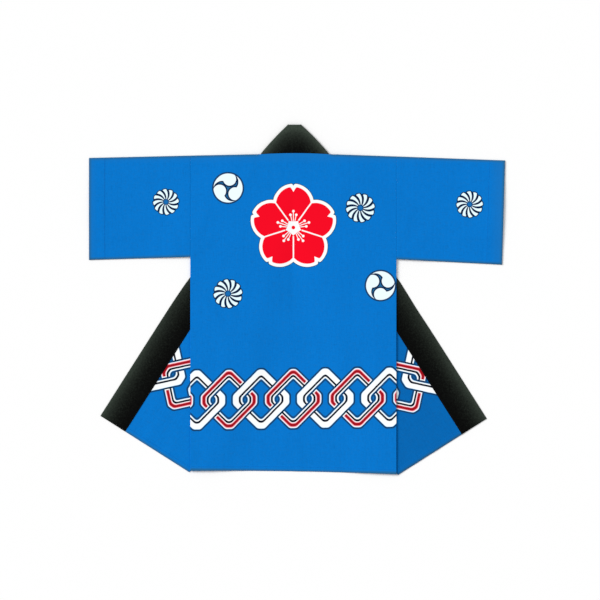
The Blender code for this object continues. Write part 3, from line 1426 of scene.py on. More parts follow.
@dataclass(frozen=True)
class PrintedCotton:
    """Blue plain-weave cotton with a print in white, red and dark blue."""

    name: str
    motifs: tuple[Motif, ...] = ()
    rims: tuple[Rim, ...] = ()
    rim_width: float = 9 * MM
    # Tone of the whole cloth: its own tone, such as the reverse's paler one, and on the right front painted
    # shade.
    tone_and_painted_shade: float = 1.0
    dyes: Dyes = Dyes()
    weave: Weave = Weave()
    wander: Clouds = Clouds(60, 60, 1.0)
    wobble: float = 0.9 * MM
    fray: Clouds = Clouds(2000, 2000, 0.0, 4.0)
    thread_bleed: float = 0.35 * MM
    streaks: Fault = Fault(Clouds(170, 5, 2.0, 1.0), 0.4, Dyes.blue.times(0.72), patchy=False)
    unevenness: tuple[Fault, ...] = (
        Fault(Clouds(800, 45, 1.0, 5.0), 1.3, Dyes.blue.times(0.55)),
        Fault(Clouds(45, 800, 1.0, 6.0), 1.3, Dyes.blue.times(0.55)),
        Fault(Clouds(9, 7, 2.0, 2.0), 0.2, Dyes.blue.times(1.35), patchy=False),
        Fault(Clouds(230, 230, 2.0, 7.0), 1.2, Dyes.blue.times(0.6)),
        Fault(Clouds(110, 110, 2.0, 8.0), 0.9, Dyes.worn_blue),
    )
    painted_weave_shade: float = 0.12
    painted_weave_shade_tone: float = 0.5
    worn_above: float = 926 * MM
    worn_beyond: float = 588 * MM
    worn_depth: float = 60 * MM
    surface: Surface = Surface(roughness=0.85, specular=0.03, sheen=0.015, sheen_roughness=0.6)

    def make(self) -> Material:
        """Make the finish.

        Returns:
            The material.
        """
        made, shader = self.surface.fresh(self.name)
        spot = cloth_spot(made.node_tree)
        shift = self.wander.about_nothing(spot) * self.wobble
        shift = shift + self.fray.about_nothing(spot) * self.thread_bleed
        printed = Spot(spot.x + shift, spot.y - shift)
        dyeing = Dyeing.over(made.node_tree, self.dyes.blue.times(self.tone_and_painted_shade))
        for fault in (self.streaks, *self.unevenness):
            fault.lay(spot, dyeing, self.tone_and_painted_shade)
        height = self.weave.height(spot)
        # Painted shade between the threads: darker where the weave lies low.
        dyeing.lay((1.0 - height) * self.painted_weave_shade, self.dyes.blue.times(self.painted_weave_shade_tone * self.tone_and_painted_shade))
        at_shoulder = (spot.y - self.worn_above) / self.worn_depth
        at_cuff = (abs(spot.x) - self.worn_beyond) / self.worn_depth
        dyeing.lay(at_shoulder.most(at_cuff).most(0.0).least(1.0), self.dyes.worn_blue)
        # Darker blue along the straight edges of the cut.
        for rim in self.rims:
            dyeing.lay(rim.near(spot, self.rim_width), self.dyes.rim_blue.times(self.tone_and_painted_shade))
        for motif in self.motifs:
            motif.lay(printed, dyeing, self.dyes)
        dyeing.colour_shader(shader)
        self.weave.emboss(shader, height)
        return made


@dataclass(frozen=True)
class BandCotton:
    """Black cotton of the collar, grey towards its folded edge: partly wear, partly painted sheen."""

    name: str = "collar_cotton"
    black: Colour = Colour.seen(6, 6, 6)
    wear_and_painted_sheen_grey: Colour = Colour.seen(58, 67, 59)
    width: float = 88.5 * MM
    furthest: float = 1.15
    wear_and_sheen_power: float = 4.2
    wear_and_sheen_run: float = 450 * MM
    wear_and_sheen_loss: float = 0.4
    patches: Clouds = Clouds(30, 9, 3.0)
    unevenness: float = 0.16
    slubs: tuple[Clouds, ...] = (
        Clouds(500, 120, 2.0, 3.0),
        Clouds(90, 700, 2.0, 4.0),
        Clouds(260, 180, 2.0, 9.0),
    )
    slub_depth: float = 1.3
    grain: Clouds = Clouds(200, 280, 2.0, 10.0)
    grain_depth: float = 2.2
    weave: Weave = Weave(thread=0.6 * MM, depth=0.06 * MM)
    surface: Surface = Surface(roughness=0.8, specular=0.02, sheen=0.015)

    def make(self) -> Material:
        """Make the finish.

        Returns:
            The material.
        """
        made, shader = self.surface.fresh(self.name)
        spot = cloth_spot(made.node_tree)
        dyeing = Dyeing.over(made.node_tree, self.black)
        patches = self.patches.about_nothing(spot) * self.unevenness
        # Grey towards the folded edge, partly wear and partly painted sheen on the rolled edge; darkest by
        # the seam as painted shade; less of it further along the band.
        across = (spot.x / self.width + patches).most(0.0).least(self.furthest)
        less = 1.0 - (spot.y / self.wear_and_sheen_run).most(0.0).least(1.0) * self.wear_and_sheen_loss
        dyeing.lay(across.step(Maths.POWER, self.wear_and_sheen_power) * less, self.wear_and_painted_sheen_grey)
        for slubs in self.slubs:
            dyeing.lay(slubs.patches(spot) * across * self.slub_depth, self.wear_and_painted_sheen_grey)
        dyeing.lay(self.grain.patches(spot) * self.grain_depth, self.black)
        dyeing.colour_shader(shader)
        self.weave.emboss(shader, self.weave.height(spot))
        return made


@dataclass(frozen=True)
class SewingThread:
    """Twisted cotton thread."""

    name: str
    colour: Colour
    twist: float = 2600.0
    painted_groove_shade: float = 0.5
    painted_groove_shade_tone: float = 0.6
    surface: Surface = Surface(roughness=0.7, specular=0.2)

    def make(self) -> Material:
        """Make the finish.

        Returns:
            The material.
        """
        made, shader = self.surface.fresh(self.name)
        tree = made.node_tree
        places = tree.nodes.new("ShaderNodeTexCoord")
        parts = tree.nodes.new("ShaderNodeSeparateXYZ")
        tree.links.new(places.outputs["Object"], parts.inputs[0])
        across, along = Field(tree, parts.outputs[0]), Field(tree, parts.outputs[1])
        twisted = ((across + along) * self.twist).step(Maths.SINE) * 0.5 + 0.5
        dyeing = Dyeing.over(tree, self.colour)
        # Painted shade in the grooves of the twist.
        dyeing.lay(twisted * self.painted_groove_shade, self.colour.times(self.painted_groove_shade_tone))
        dyeing.colour_shader(shader)
        return made


@dataclass(frozen=True)
class PaleFloor:
    """Matt pale floor."""

    name: str = "pale_floor"
    colour: Colour = Colour(0.93, 0.93, 0.93)
    surface: Surface = Surface(roughness=1.0, specular=0.0)

    def make(self) -> Material:
        """Make the finish.

        Returns:
            The material.
        """
        made, shader = self.surface.fresh(self.name)
        shader.inputs["Base Color"].default_value = (*self.colour, 1.0)
        return made


# ---- Pieces of the coat ----


@dataclass
class Back(ClothPiece):
    """The back, with its edges turned over towards the fronts at the side seams and shoulders."""

    def side_turn(self, side: Side, y: float) -> float:
        """Return the radius of the turned side edge at a height, 0 along the armhole."""
        up = max(y - side.hem, 0.0)
        return self.lay.edge_radius(side, 0.0, up) * self.lay.below_underarm(side, up)

    def top_turn(self, x: float) -> float:
        """Return the radius of the turned shoulder at a distance from the centre line.

        Args:
            x: The distance, negative on the left.

        Returns:
            The radius, 0 at the neck.
        """
        side = side_of(x)
        past_neck = abs(x) - side.neck_reach
        if past_neck <= 0:
            return 0.0
        inward = self.lay.body_half - abs(x)
        radius = self.lay.edge_radius(side, inward, self.lay.top_at(x) - side.hem)
        return radius * smooth(past_neck / self.lay.shoulder_ease)

    def at(self, x: float, y: float, side_turn: float, top_turn: float) -> tuple[Vector, float]:
        """Return where a point of the back lies, and how thick the cloth is there.

        Args:
            x: Distance from the centre line.
            y: Distance from the middle of the hem.
            side_turn: How far round the turned side edge the point is, from 0 to 1.
            top_turn: How far round the turned shoulder it is, from 0 to 1.

        Returns:
            The place in the frame and the thickness.
        """
        lay, cut, side = self.lay, self.cut, side_of(x)
        from_side, above_hem, below_top = lay.body_half - abs(x), y - lay.hem_at(x), lay.top_at(x) - y
        side_radius, top_radius = self.side_turn(side, y), self.top_turn(x)
        full = cut.hemmed(above_hem)
        ply = full * rounded(above_hem, full / 2)
        if side_radius == 0.0:
            ply *= rounded(from_side, cut.edge_radius)
        if top_radius == 0.0:
            ply *= rounded(below_top, cut.edge_radius)
        z = lay.back_level(x, y) + (full - cut.ply) / 2
        z -= cut.dip(from_side) * (1 - lay.below_underarm(side, y - side.hem))
        if abs(x) < side.neck_reach:
            z -= cut.dip(below_top)
        side_out, side_down = rolled(side_radius, side_turn)
        top_out, top_down = rolled(top_radius, top_turn)
        return lay.to_world(x + side.sign * side_out, y + top_out, z - side_down - top_down), ply

    def rows(self) -> list[list[Knot]]:
        """Lay out the back's grid, with the turned edges as its outermost lines.

        Returns:
            The grid, row by row from the hem up.
        """
        lay, cut = self.lay, self.cut
        marks = (-LEFT.neck_reach, 0.0, RIGHT.neck_reach)
        columns = stations(-lay.body_half, lay.body_half, cut.pitch, cut.near_edge, marks)
        middle_top = lay.top_at(0.0)
        rises = stations(0.0, middle_top, cut.pitch, (*cut.near_edge, *cut.hem_lines(cut.hem_width)))
        grid = [self.row(columns, rise / middle_top, 0.0) for rise in rises]
        grid += [self.row(columns, 1.0, turn) for turn in shares(cut.turns)[1:]]
        return grid

    def row(self, columns: Sequence[float], share: float, top_turn: float) -> list[Knot]:
        """Return one row of the grid.

        Args:
            columns: Distances from the centre line, before the edges are drawn in.
            share: How far up between the hem and the top the row lies.
            top_turn: How far round the turned shoulder it lies.

        Returns:
            The row's knots.
        """
        lay, half_ply = self.lay, self.cut.ply / 2
        inset = {}
        for side in SIDES:
            radius = self.side_turn(side, mix(side.hem, side.armhole_top, share))
            inset[side.sign] = radius + half_ply if radius else lay.seam / 2
        knots = []
        for column in columns:
            x = column * (1 - inset[side_of(column).sign] / lay.body_half)
            turn = self.top_turn(x)
            y = mix(lay.hem_at(x), lay.top_at(x) - turn - (half_ply if turn else 0.0), share)
            printed = (x, y + turn * pi * top_turn)
            knots.append(Knot((x, y, 0.0, top_turn if turn else 0.0), printed))
        return self.turned(knots[0])[::-1] + knots + self.turned(knots[-1])

    def turned(self, edge: Knot) -> list[Knot]:
        """Return the knots round the turned side edge, outwards from the edge's own knot.

        Args:
            edge: The edge's own knot.

        Returns:
            The knots.
        """
        x, y, _, top_turn = edge.key
        side = side_of(x)
        radius = self.side_turn(side, y) if top_turn == 0.0 else 0.0
        knots = []
        for turn in shares(self.cut.turns)[1:]:
            beyond = x + side.sign * radius * pi * turn
            knots.append(Knot((x, y, turn if radius else 0.0, top_turn), (beyond, edge.printed[1])))
        return knots


def across_fold(
    round_fold: Sequence[float],
    before: Sequence[float],
    end: float,
    after_count: int,
    near_end: Sequence[float],
) -> list[float]:
    """Return places along a line that crosses the fold, finer round the fold.

    Args:
        round_fold: The places round the fold, in order.
        before: Shares of the stretch before them that get a place.
        end: Last place on the line.
        after_count: Steps on the stretch after the fold.
        near_end: Distances from the end that also get a place, the least one first.

    Returns:
        As many places for every line, in order, none of them past the end.
    """
    places = [round_fold[0] * share for share in before]
    places += round_fold[1:-1]
    places += [mix(round_fold[-1], end - near_end[-1], share) for share in shares(after_count)]
    places += [end - step for step in reversed(near_end[:-1])]
    places.append(end)
    kept = [0.0]
    for place in places[1:]:
        kept.append(clamped(place, kept[-1], end))
    return kept


@dataclass
class Front(ClothPiece):
    """One front, folded under the back and turned out beside it."""

    side: Side
    columns: int = 34
    least_edge: float = 0.6

    def at(self, inward: float, up: float) -> tuple[Vector, float]:
        """Return where a flat-cut point of the front lies, and how thick the cloth is there.

        Args:
            inward: Distance from the side seam.
            up: Height above the foot of the side seam.

        Returns:
            The place in the frame and the thickness.
        """
        lay, cut, side = self.lay, self.cut, self.side
        above_hem = up + side.front_drop
        full = cut.hemmed(above_hem)
        from_collar = lay.front_edge(side, up) - inward
        ply = full * rounded(above_hem, full / 2) * rounded(from_collar, cut.edge_radius, self.least_edge)
        if lay.past_fold(inward, up) > 0:
            lift = (full - cut.ply) / 2
        else:
            lift = -cut.dip(inward) * (1 - lay.below_underarm(side, up))
        return lay.fold(side, inward, up, lay.ply, lift), ply

    def rows(self) -> list[list[Knot]]:
        """Lay out the front's grid in the flat cut.

        Returns:
            The grid, row by row from the hem up.
        """
        lay, side, cut = self.lay, self.side, self.cut
        top = lay.front_top(side, lay.body_half - side.neck_reach)
        fold_ups = [lay.seam_crossing(side, 0.0, distance) for distance in lay.fold_lines]
        near = (*cut.near_edge, *cut.hem_lines(cut.hem_width))
        rises = stations(-side.front_drop, top, cut.pitch, near, fold_ups)
        return [self.row(rise, top) for rise in rises]

    def row(self, rise: float, top: float) -> list[Knot]:
        """Return one row of the grid, from the side seam to the collar's seam.

        Args:
            rise: The row's height at the collar's seam.
            top: The front's height there.

        Returns:
            The row's knots.
        """
        lay, side, cut = self.lay, self.side, self.cut
        edge = lay.front_edge(side, rise) - cut.seam_gap / 2 - lay.neck_ease * lay.taper_at(side, rise)
        share = rise / top

        def up_at(inward: float) -> float:
            """Return the height of the row at a distance from the side seam.

            Args:
                inward: The distance.

            Returns:
                The height above the foot of the side seam.
            """
            shoulder = lay.front_top(side, inward)
            turn = lay.edge_radius(side, inward, shoulder) + cut.ply / 2
            from_neck = lay.body_half - side.neck_reach - inward
            return share * (shoulder - turn * smooth(from_neck / lay.shoulder_ease))

        def crossing(distance: float) -> float:
            """Return the place on the row that is that far past the fold line."""
            slope = tan(lay.lean)
            return settled(lambda inward: distance / cos(lay.lean) + up_at(inward) * slope)

        round_fold = [crossing(distance) for distance in lay.fold_lines]
        places = across_fold(round_fold, shares(self.columns), edge, self.columns, cut.near_edge)
        foot = up_at(0.0)
        inset = lay.edge_radius(side, 0.0, foot) * lay.below_underarm(side, foot)
        inwards = [clamped(place, inset, edge) for place in places]
        return [Knot((inward, up_at(inward)), (-inward, up_at(inward))) for inward in inwards]


@dataclass
class CollarLeg(ClothPiece):
    """The collar's stretch down one front: a band of several plies, folded lengthwise."""

    side: Side
    pinch_run: float = 55 * MM
    neck_turn: float = 2.2 * MM
    rows_before: int = 140
    rows_after: int = 24

    def at(self, width: float, up: float) -> tuple[Vector, float]:
        """Return where a flat-cut point of the leg lies, and how thick the band is there.

        Args:
            width: Distance from the collar's seam.
            up: Height above the foot of the side seam.

        Returns:
            The place in the frame and the thickness.
        """
        lay, cut, side = self.lay, self.cut, self.side
        from_edge = min(width, lay.band_width - width)
        ply = cut.band_ply_at(lay.band_ply, from_edge, up + side.front_drop)
        share = width / lay.band_width
        past_pinch = (up - side.leg_pinch_up) / self.pinch_run
        pinched = share * side.leg_pinch / (1 + past_pinch * past_pinch)
        inward = lay.front_edge(side, up) + width + (1 - share) * cut.seam_gap / 2 - pinched
        return lay.fold(side, inward, up, lay.band_ply), ply

    def rows(self) -> list[list[Knot]]:
        """Return the leg's grid in the flat cut, one row for each line along it."""
        near = self.cut.near_band_edge
        return [self.row(width) for width in stations(0.0, self.lay.band_width, self.cut.pitch, near)]

    def row(self, width: float) -> list[Knot]:
        """Return the knots along the leg, from the hem up.

        Args:
            width: Distance from the collar's seam.

        Returns:
            The knots.
        """
        lay, side = self.lay, self.side
        marks = (0.0, *self.cut.near_band_edge)
        round_fold = [lay.seam_crossing(side, width, distance) for distance in reversed(lay.fold_lines)]
        before = [mark / round_fold[0] for mark in marks] + shares(self.rows_before)[1:]
        top = lay.front_top(side, lay.body_half - side.neck_reach)
        end = top + width / lay.band_width * lay.band_end_rise - self.neck_turn
        ups = across_fold(round_fold, before, end, self.rows_after, self.cut.near_band_edge)
        ups[: len(marks)] = [mark - side.front_drop for mark in marks]
        return [Knot((width, up), (width, up)) for up in ups]


@dataclass
class NeckBand(ClothPiece):
    """The collar's stretch behind the neck, turned under at both ends into its legs."""

    turn_radius: float = 1.15 * MM
    turns: int = 8
    side_bow: float = 2 * MM
    columns: int = 36
    pitch: float = 5 * MM
    # The neck band greys towards its top and its slanted sides: partly wear, partly painted sheen.
    wear_and_sheen_from: float = 0.2
    wear_and_sheen_gain: float = 0.92
    side_wear_and_sheen: float = 1.03
    side_wear_and_sheen_reach: float = 98 * MM
    wear_and_sheen_sharpness: int = 8

    def wear_and_sheen_place(self, rise: float, from_side: float) -> float:
        """Return where the band's grey from wear and painted sheen is taken from, as a distance from a
        plain band's seam.

        Args:
            rise: Share of the band's height.
            from_side: Distance from the nearer slanted side.

        Returns:
            The distance.
        """
        upward = self.wear_and_sheen_from + self.wear_and_sheen_gain * rise
        sideward = max(self.side_wear_and_sheen - from_side / self.side_wear_and_sheen_reach, 0.0)
        joined = upward**self.wear_and_sheen_sharpness + sideward**self.wear_and_sheen_sharpness
        return self.lay.band_width * joined ** (1 / self.wear_and_sheen_sharpness)

    @property
    def level(self) -> float:
        """Return the middle height of the band, which lies on the legs' folded ends."""
        return self.lay.band_ply * 3 / 2 + 2 * self.lay.fold_radius + self.lay.seam

    def side_line(self, side: Side, rise: float) -> float:
        """Return the reach of the band's outline at a share of its height."""
        return mix(side.neck_reach, side.band_reach, rise) + self.side_bow * arch(rise)

    def at(self, x: float, y: float, turn: float) -> tuple[Vector, float]:
        """Return where a point of the band lies, and how thick the band is there.

        Args:
            x: Distance from the centre line.
            y: Distance from the middle of the hem.
            turn: How far round the turned side the point is, from 0 to 1.

        Returns:
            The place in the frame and the thickness.
        """
        lay = self.lay
        above_seam = y - lay.top_at(x) - lay.seam
        ply = self.cut.band_ply_at(lay.band_ply, lay.band_top - y, above_seam)
        z = self.level - self.cut.dip(above_seam) / 2
        if turn > 0:
            side = side_of(x)
            run, rise = side.neck_reach - side.band_reach, lay.band_top - lay.neck_corner
            out, down = rolled(self.turn_radius, turn)
            length = hypot(run, rise)
            x += side.sign * out * rise / length
            y = min(y + out * run / length, lay.band_top)
            z -= down
        return lay.to_world(x, y, z), ply

    def rows(self) -> list[list[Knot]]:
        """Lay out the band's grid, with the turned sides as its outermost lines.

        Returns:
            The grid, row by row from the neckline up.
        """
        lay = self.lay
        inset = self.turn_radius + lay.band_ply / 2
        grid = []
        for height in stations(0.0, lay.band_width, self.pitch, self.cut.near_band_edge):
            rise = height / lay.band_width
            low, high = (side.sign * (self.side_line(side, rise) - inset) for side in SIDES)
            row = []
            for share in shares(self.columns):
                x = mix(low, high, share)
                y = mix(lay.top_at(x) + lay.seam, lay.band_top, rise)
                row.append(Knot((x, y, 0.0), (self.wear_and_sheen_place(rise, min(x - low, high - x)), x)))
            grid.append(self.turned(row[0])[::-1] + row + self.turned(row[-1]))
        return grid

    def turned(self, edge: Knot) -> list[Knot]:
        """Return the knots round the turned side, outwards from the side's own knot."""
        return [Knot((*edge.key[:2], turn), edge.printed) for turn in shares(self.turns)[1:]]


@dataclass
class Sleeve(ClothPiece):
    """One sleeve: a flat tube of two layers, open at the armhole and at the cuff."""

    side: Side
    rise_count: int = 44
    arc_count: int = 8
    cuff_hem: float = 50 * MM
    cuff_share: float = 0.35
    cuff_gape: float = 2.2 * MM
    cuff_gape_reach: float = 110 * MM

    def reach_at(self, share: float, rise: float) -> float:
        """Return the reach from the centre line at shares of the sleeve's length and height."""
        cuff = mix(self.side.cuff_low_reach, self.side.cuff_top_reach, rise)
        return mix(self.lay.body_half + self.lay.seam / 2, cuff, share)

    def levels(self, share: float, rise: float) -> tuple[float, float, float, float]:
        """Return where a place is, and how high its two layers lie.

        Args:
            share: Share of the sleeve's length, from the armhole.
            rise: Share of its height, from the underarm.

        Returns:
            The reach, the height, and the middle heights of the front and the back layer.
        """
        side, lay = self.side, self.lay
        inset = (lay.ply + lay.layer_gap) / 2 + self.cut.ply / 2
        low = mix(side.underarm, side.cuff_low, share) + inset
        high = mix(side.armhole_top, side.cuff_top, share) - inset
        y = mix(low, high, rise)
        reach = self.reach_at(share, rise)
        inward, up = lay.body_half - reach, y - side.hem
        return reach, y, lay.front_level(inward, up), lay.back_level_over(side, inward, up)

    def at(self, share: float, rise: float, over: float, under: float) -> tuple[Vector, float]:
        """Return where a point of the sleeve lies, and how thick the cloth is there.

        Args:
            share: Share of the sleeve's length, from the armhole.
            rise: Share of its height, from the underarm.
            over: How far round the shoulder fold the point is, 0 on the front layer, 1 on the back.
            under: How far round the underarm edge it is, 0 on the back layer, 1 on the front.

        Returns:
            The place in the frame and the thickness.
        """
        lay, cut = self.lay, self.cut
        reach, y, front, back = self.levels(share, rise)
        middle, radius = (front + back) / 2, (back - front) / 2
        if under > 0:
            y -= radius * sin(pi * under)
            z = middle + radius * cos(pi * under)
        else:
            y += radius * sin(pi * over)
            z = middle - radius * cos(pi * over)
        from_seam, from_cuff = reach - self.reach_at(0.0, rise), self.reach_at(1.0, rise) - reach
        full = cut.ply
        if over == 1.0 and under == 0.0:
            full = mix(cut.ply, cut.hemmed(from_cuff, self.cuff_hem), self.cuff_share)
            gape = smooth(1 - from_cuff / self.cuff_gape_reach)
            z += self.cuff_gape * gape * sin(pi * rise) ** 2
            z += (full - cut.ply) / 2 - cut.dip(from_seam)
        ply = full * rounded(from_cuff, full / 2) * rounded(from_seam, cut.edge_radius)
        return lay.to_world(self.side.sign * reach, y, z), ply

    def rows(self) -> list[list[Knot]]:
        """Lay out the sleeve's grid.

        Returns:
            The grid, a row for each ring round the sleeve, from the armhole out.
        """
        length = self.reach_at(1.0, 0.5) - self.reach_at(0.0, 0.5)
        hem = [length - line for line in self.cut.hem_lines(self.cuff_hem)]
        lines = stations(0.0, length, self.cut.pitch, self.cut.near_edge, hem)
        return [self.ring(line / length) for line in lines]

    def ring(self, share: float) -> list[Knot]:
        """Return the knots round the sleeve at a share of its length.

        Args:
            share: Share of the sleeve's length, from the armhole.

        Returns:
            The knots, from the underarm up the front layer, over the shoulder, and down the back layer.
        """
        rises, arc = shares(self.rise_count), shares(self.arc_count)[1:-1]
        places: list[tuple[float, float, float]] = [(rise, 0.0, 0.0) for rise in rises]
        places += [(1.0, turn, 0.0) for turn in arc]
        places += [(1.0 - rise, 1.0, 0.0) for rise in rises]
        places += [(0.0, 1.0, turn) for turn in arc]
        places.append((0.0, 1.0, 1.0))
        top = self.levels(share, 1.0)[1]
        knots = []
        for rise, over, under in places:
            reach, y, front, back = self.levels(share, rise)
            half_round = (back - front) * pi / 2
            along = mix(2 * top - y + half_round, y, over) - half_round * under
            knots.append(Knot((share, rise, over, under), (self.side.sign * reach, along)))
        knots[-1] = Knot(knots[0].key, knots[-1].printed)
        return knots


# ---- Stitching ----


@dataclass(frozen=True)
class Stitching:
    """Rows of machine stitches, each row laid along a line on a piece's right side."""

    length: float = 2.5 * MM
    gap: float = 0.7 * MM
    half_width: float = 0.22 * MM
    flatness: float = 0.8
    end_width: float = 0.55
    rise: float = 0.16 * MM
    bow: float = 1.6
    sunk: float = 0.9
    rings: int = 5
    sides: int = 6

    def sew(
        self, name: str, line: Callable[[float], Vector], run: float, thread: Material, slot: Slot
    ) -> Object:
        """Sew a row of stitches as one piece.

        Args:
            name: The piece's name.
            line: Gives the place on the cloth at a distance along the row.
            run: Length of the row.
            thread: Finish of the thread.
            slot: The material slot for the stitches; not used.

        Returns:
            The stitches.
        """
        points: list[Vector] = []
        faces: list[list[int]] = []
        count = int(run / (self.length + self.gap))
        pitch = run / count
        for number in range(count):
            start = (number + 0.5) * pitch - self.length / 2
            self.stitch(points, faces, line(start), line(start + self.length))
        piece = new_piece(name, points, faces, thread)
        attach(piece, BODY)
        return piece

    def stitch(self, points: list[Vector], faces: list[list[int]], start: Vector, end: Vector) -> None:
        """Add one stitch: a short bow of thread that dips into the cloth at both ends.

        Args:
            points: The mesh's points so far.
            faces: The mesh's faces so far.
            start: Where the thread comes up.
            end: Where it goes down.
        """
        ahead = (end - start).normalized()
        aside = UP.cross(ahead).normalized()
        above = ahead.cross(aside)
        first = len(points)
        last = first + (self.rings - 1) * self.sides
        for share in shares(self.rings - 1):
            bow = sin(pi * share)
            middle = start.lerp(end, share) + above * (self.rise * (self.bow * bow - self.sunk))
            half = self.half_width * mix(self.end_width, 1.0, bow)
            for corner in range(self.sides):
                angle = tau * corner / self.sides
                out = aside * cos(angle) + above * (self.flatness * sin(angle))
                points.append(middle + out * half)
        for low in range(first, last, self.sides):
            high = low + self.sides
            for corner in range(self.sides):
                after = (corner + 1) % self.sides
                faces.append([low + corner, low + after, high + after, high + corner])
        faces.append([first + corner for corner in reversed(range(self.sides))])
        faces.append([last + corner for corner in range(self.sides)])


# ---- Studio ----


@dataclass(frozen=True)
class Studio:
    """The floor, the soft light and the camera straight above."""

    floor_size: float = 14.0
    view_width: float = 1.8
    view_x: float = 8.9 * MM
    view_y: float = 0.1 * MM
    camera_height: float = 7.0
    camera_reach: float = 100.0
    sensor: float = 36.0
    sky: float = 0.62
    key_strength: float = 2.85
    key_angle: float = radians(26)
    key_elevation: float = radians(30)
    key_bearing: float = radians(150)

    def build(self) -> None:
        """Lay the floor, light it and set the camera."""
        self.lay_floor()
        self.light()
        self.set_camera()

    def lay_floor(self) -> None:
        """Lay a plain pale floor under the coat."""
        half = self.floor_size / 2
        signs = ((-1, -1), (1, -1), (1, 1), (-1, 1))
        corners = [Vector((half * x, half * y, 0.0)) for x, y in signs]
        floor = new_piece("studio_floor", corners, [range(len(corners))], PaleFloor().make())

    def light(self) -> None:
        """Light the scene with an even sky and one soft key light from the left."""
        scene = bpy.context.scene
        scene.view_settings.view_transform = "Standard"
        world = bpy.data.worlds.new("studio_sky")
        world.use_nodes = True
        sky = world.node_tree.nodes["Background"]
        sky.inputs["Color"].default_value = (1.0, 1.0, 1.0, 1.0)
        sky.inputs["Strength"].default_value = self.sky
        scene.world = world
        sun = bpy.data.lights.new("key_light", "SUN")
        sun.energy = self.key_strength
        sun.angle = self.key_angle
        key = bpy.data.objects.new("key_light", sun)
        bearing, steepness = self.key_bearing, tan(self.key_elevation)
        toward = Vector((cos(bearing), sin(bearing), steepness))
        key.rotation_euler = toward.to_track_quat("Z", "Y").to_euler()
        bpy.context.collection.objects.link(key)

    def set_camera(self) -> None:
        """Set the camera straight above the coat."""
        lens = bpy.data.cameras.new("overhead_camera")
        lens.sensor_fit = "HORIZONTAL"
        lens.sensor_width = self.sensor
        lens.lens = self.sensor * self.camera_height / self.view_width
        lens.clip_end = self.camera_reach
        camera = bpy.data.objects.new("overhead_camera", lens)
        camera.location = (self.view_x, self.view_y, self.camera_height)
        bpy.context.collection.objects.link(camera)
        bpy.context.scene.camera = camera


# ---- The whole coat ----


class SidePrint(NamedTuple):
    """What is printed on one side's front and sleeve, and how much painted shade darkens the front."""

    chain: ChainBand
    flower: FlowerRoundels
    tone_and_painted_shade: float


SIDE_PRINTS = {
    LEFT.name: SidePrint(LEFT_FRONT_CHAIN, LEFT_SLEEVE_FLOWER, 1.0),
    # 0.74 on the right is painted shade, which darkens that front beside the back.
    RIGHT.name: SidePrint(RIGHT_FRONT_CHAIN, RIGHT_SLEEVE_FLOWER, 0.74),
}


@dataclass(frozen=True)
class Finishes:
    """The finishes that more than one piece takes."""

    reverse: Material
    band: Material
    thread: Material
    black_thread: Material

    @classmethod
    def made(cls) -> Finishes:
        """Make the finishes.

        Returns:
            All of them.
        """
        streaks = PrintedCotton.streaks._replace(depth=0.32)
        return cls(
            reverse=PrintedCotton("cotton_reverse", tone_and_painted_shade=1.15, streaks=streaks).make(),
            thread=SewingThread("blue_thread", Colour.seen(12, 110, 196)).make(),
            black_thread=SewingThread("black_thread", Colour.seen(34, 36, 36)).make(),
            band=BandCotton().make(),
        )


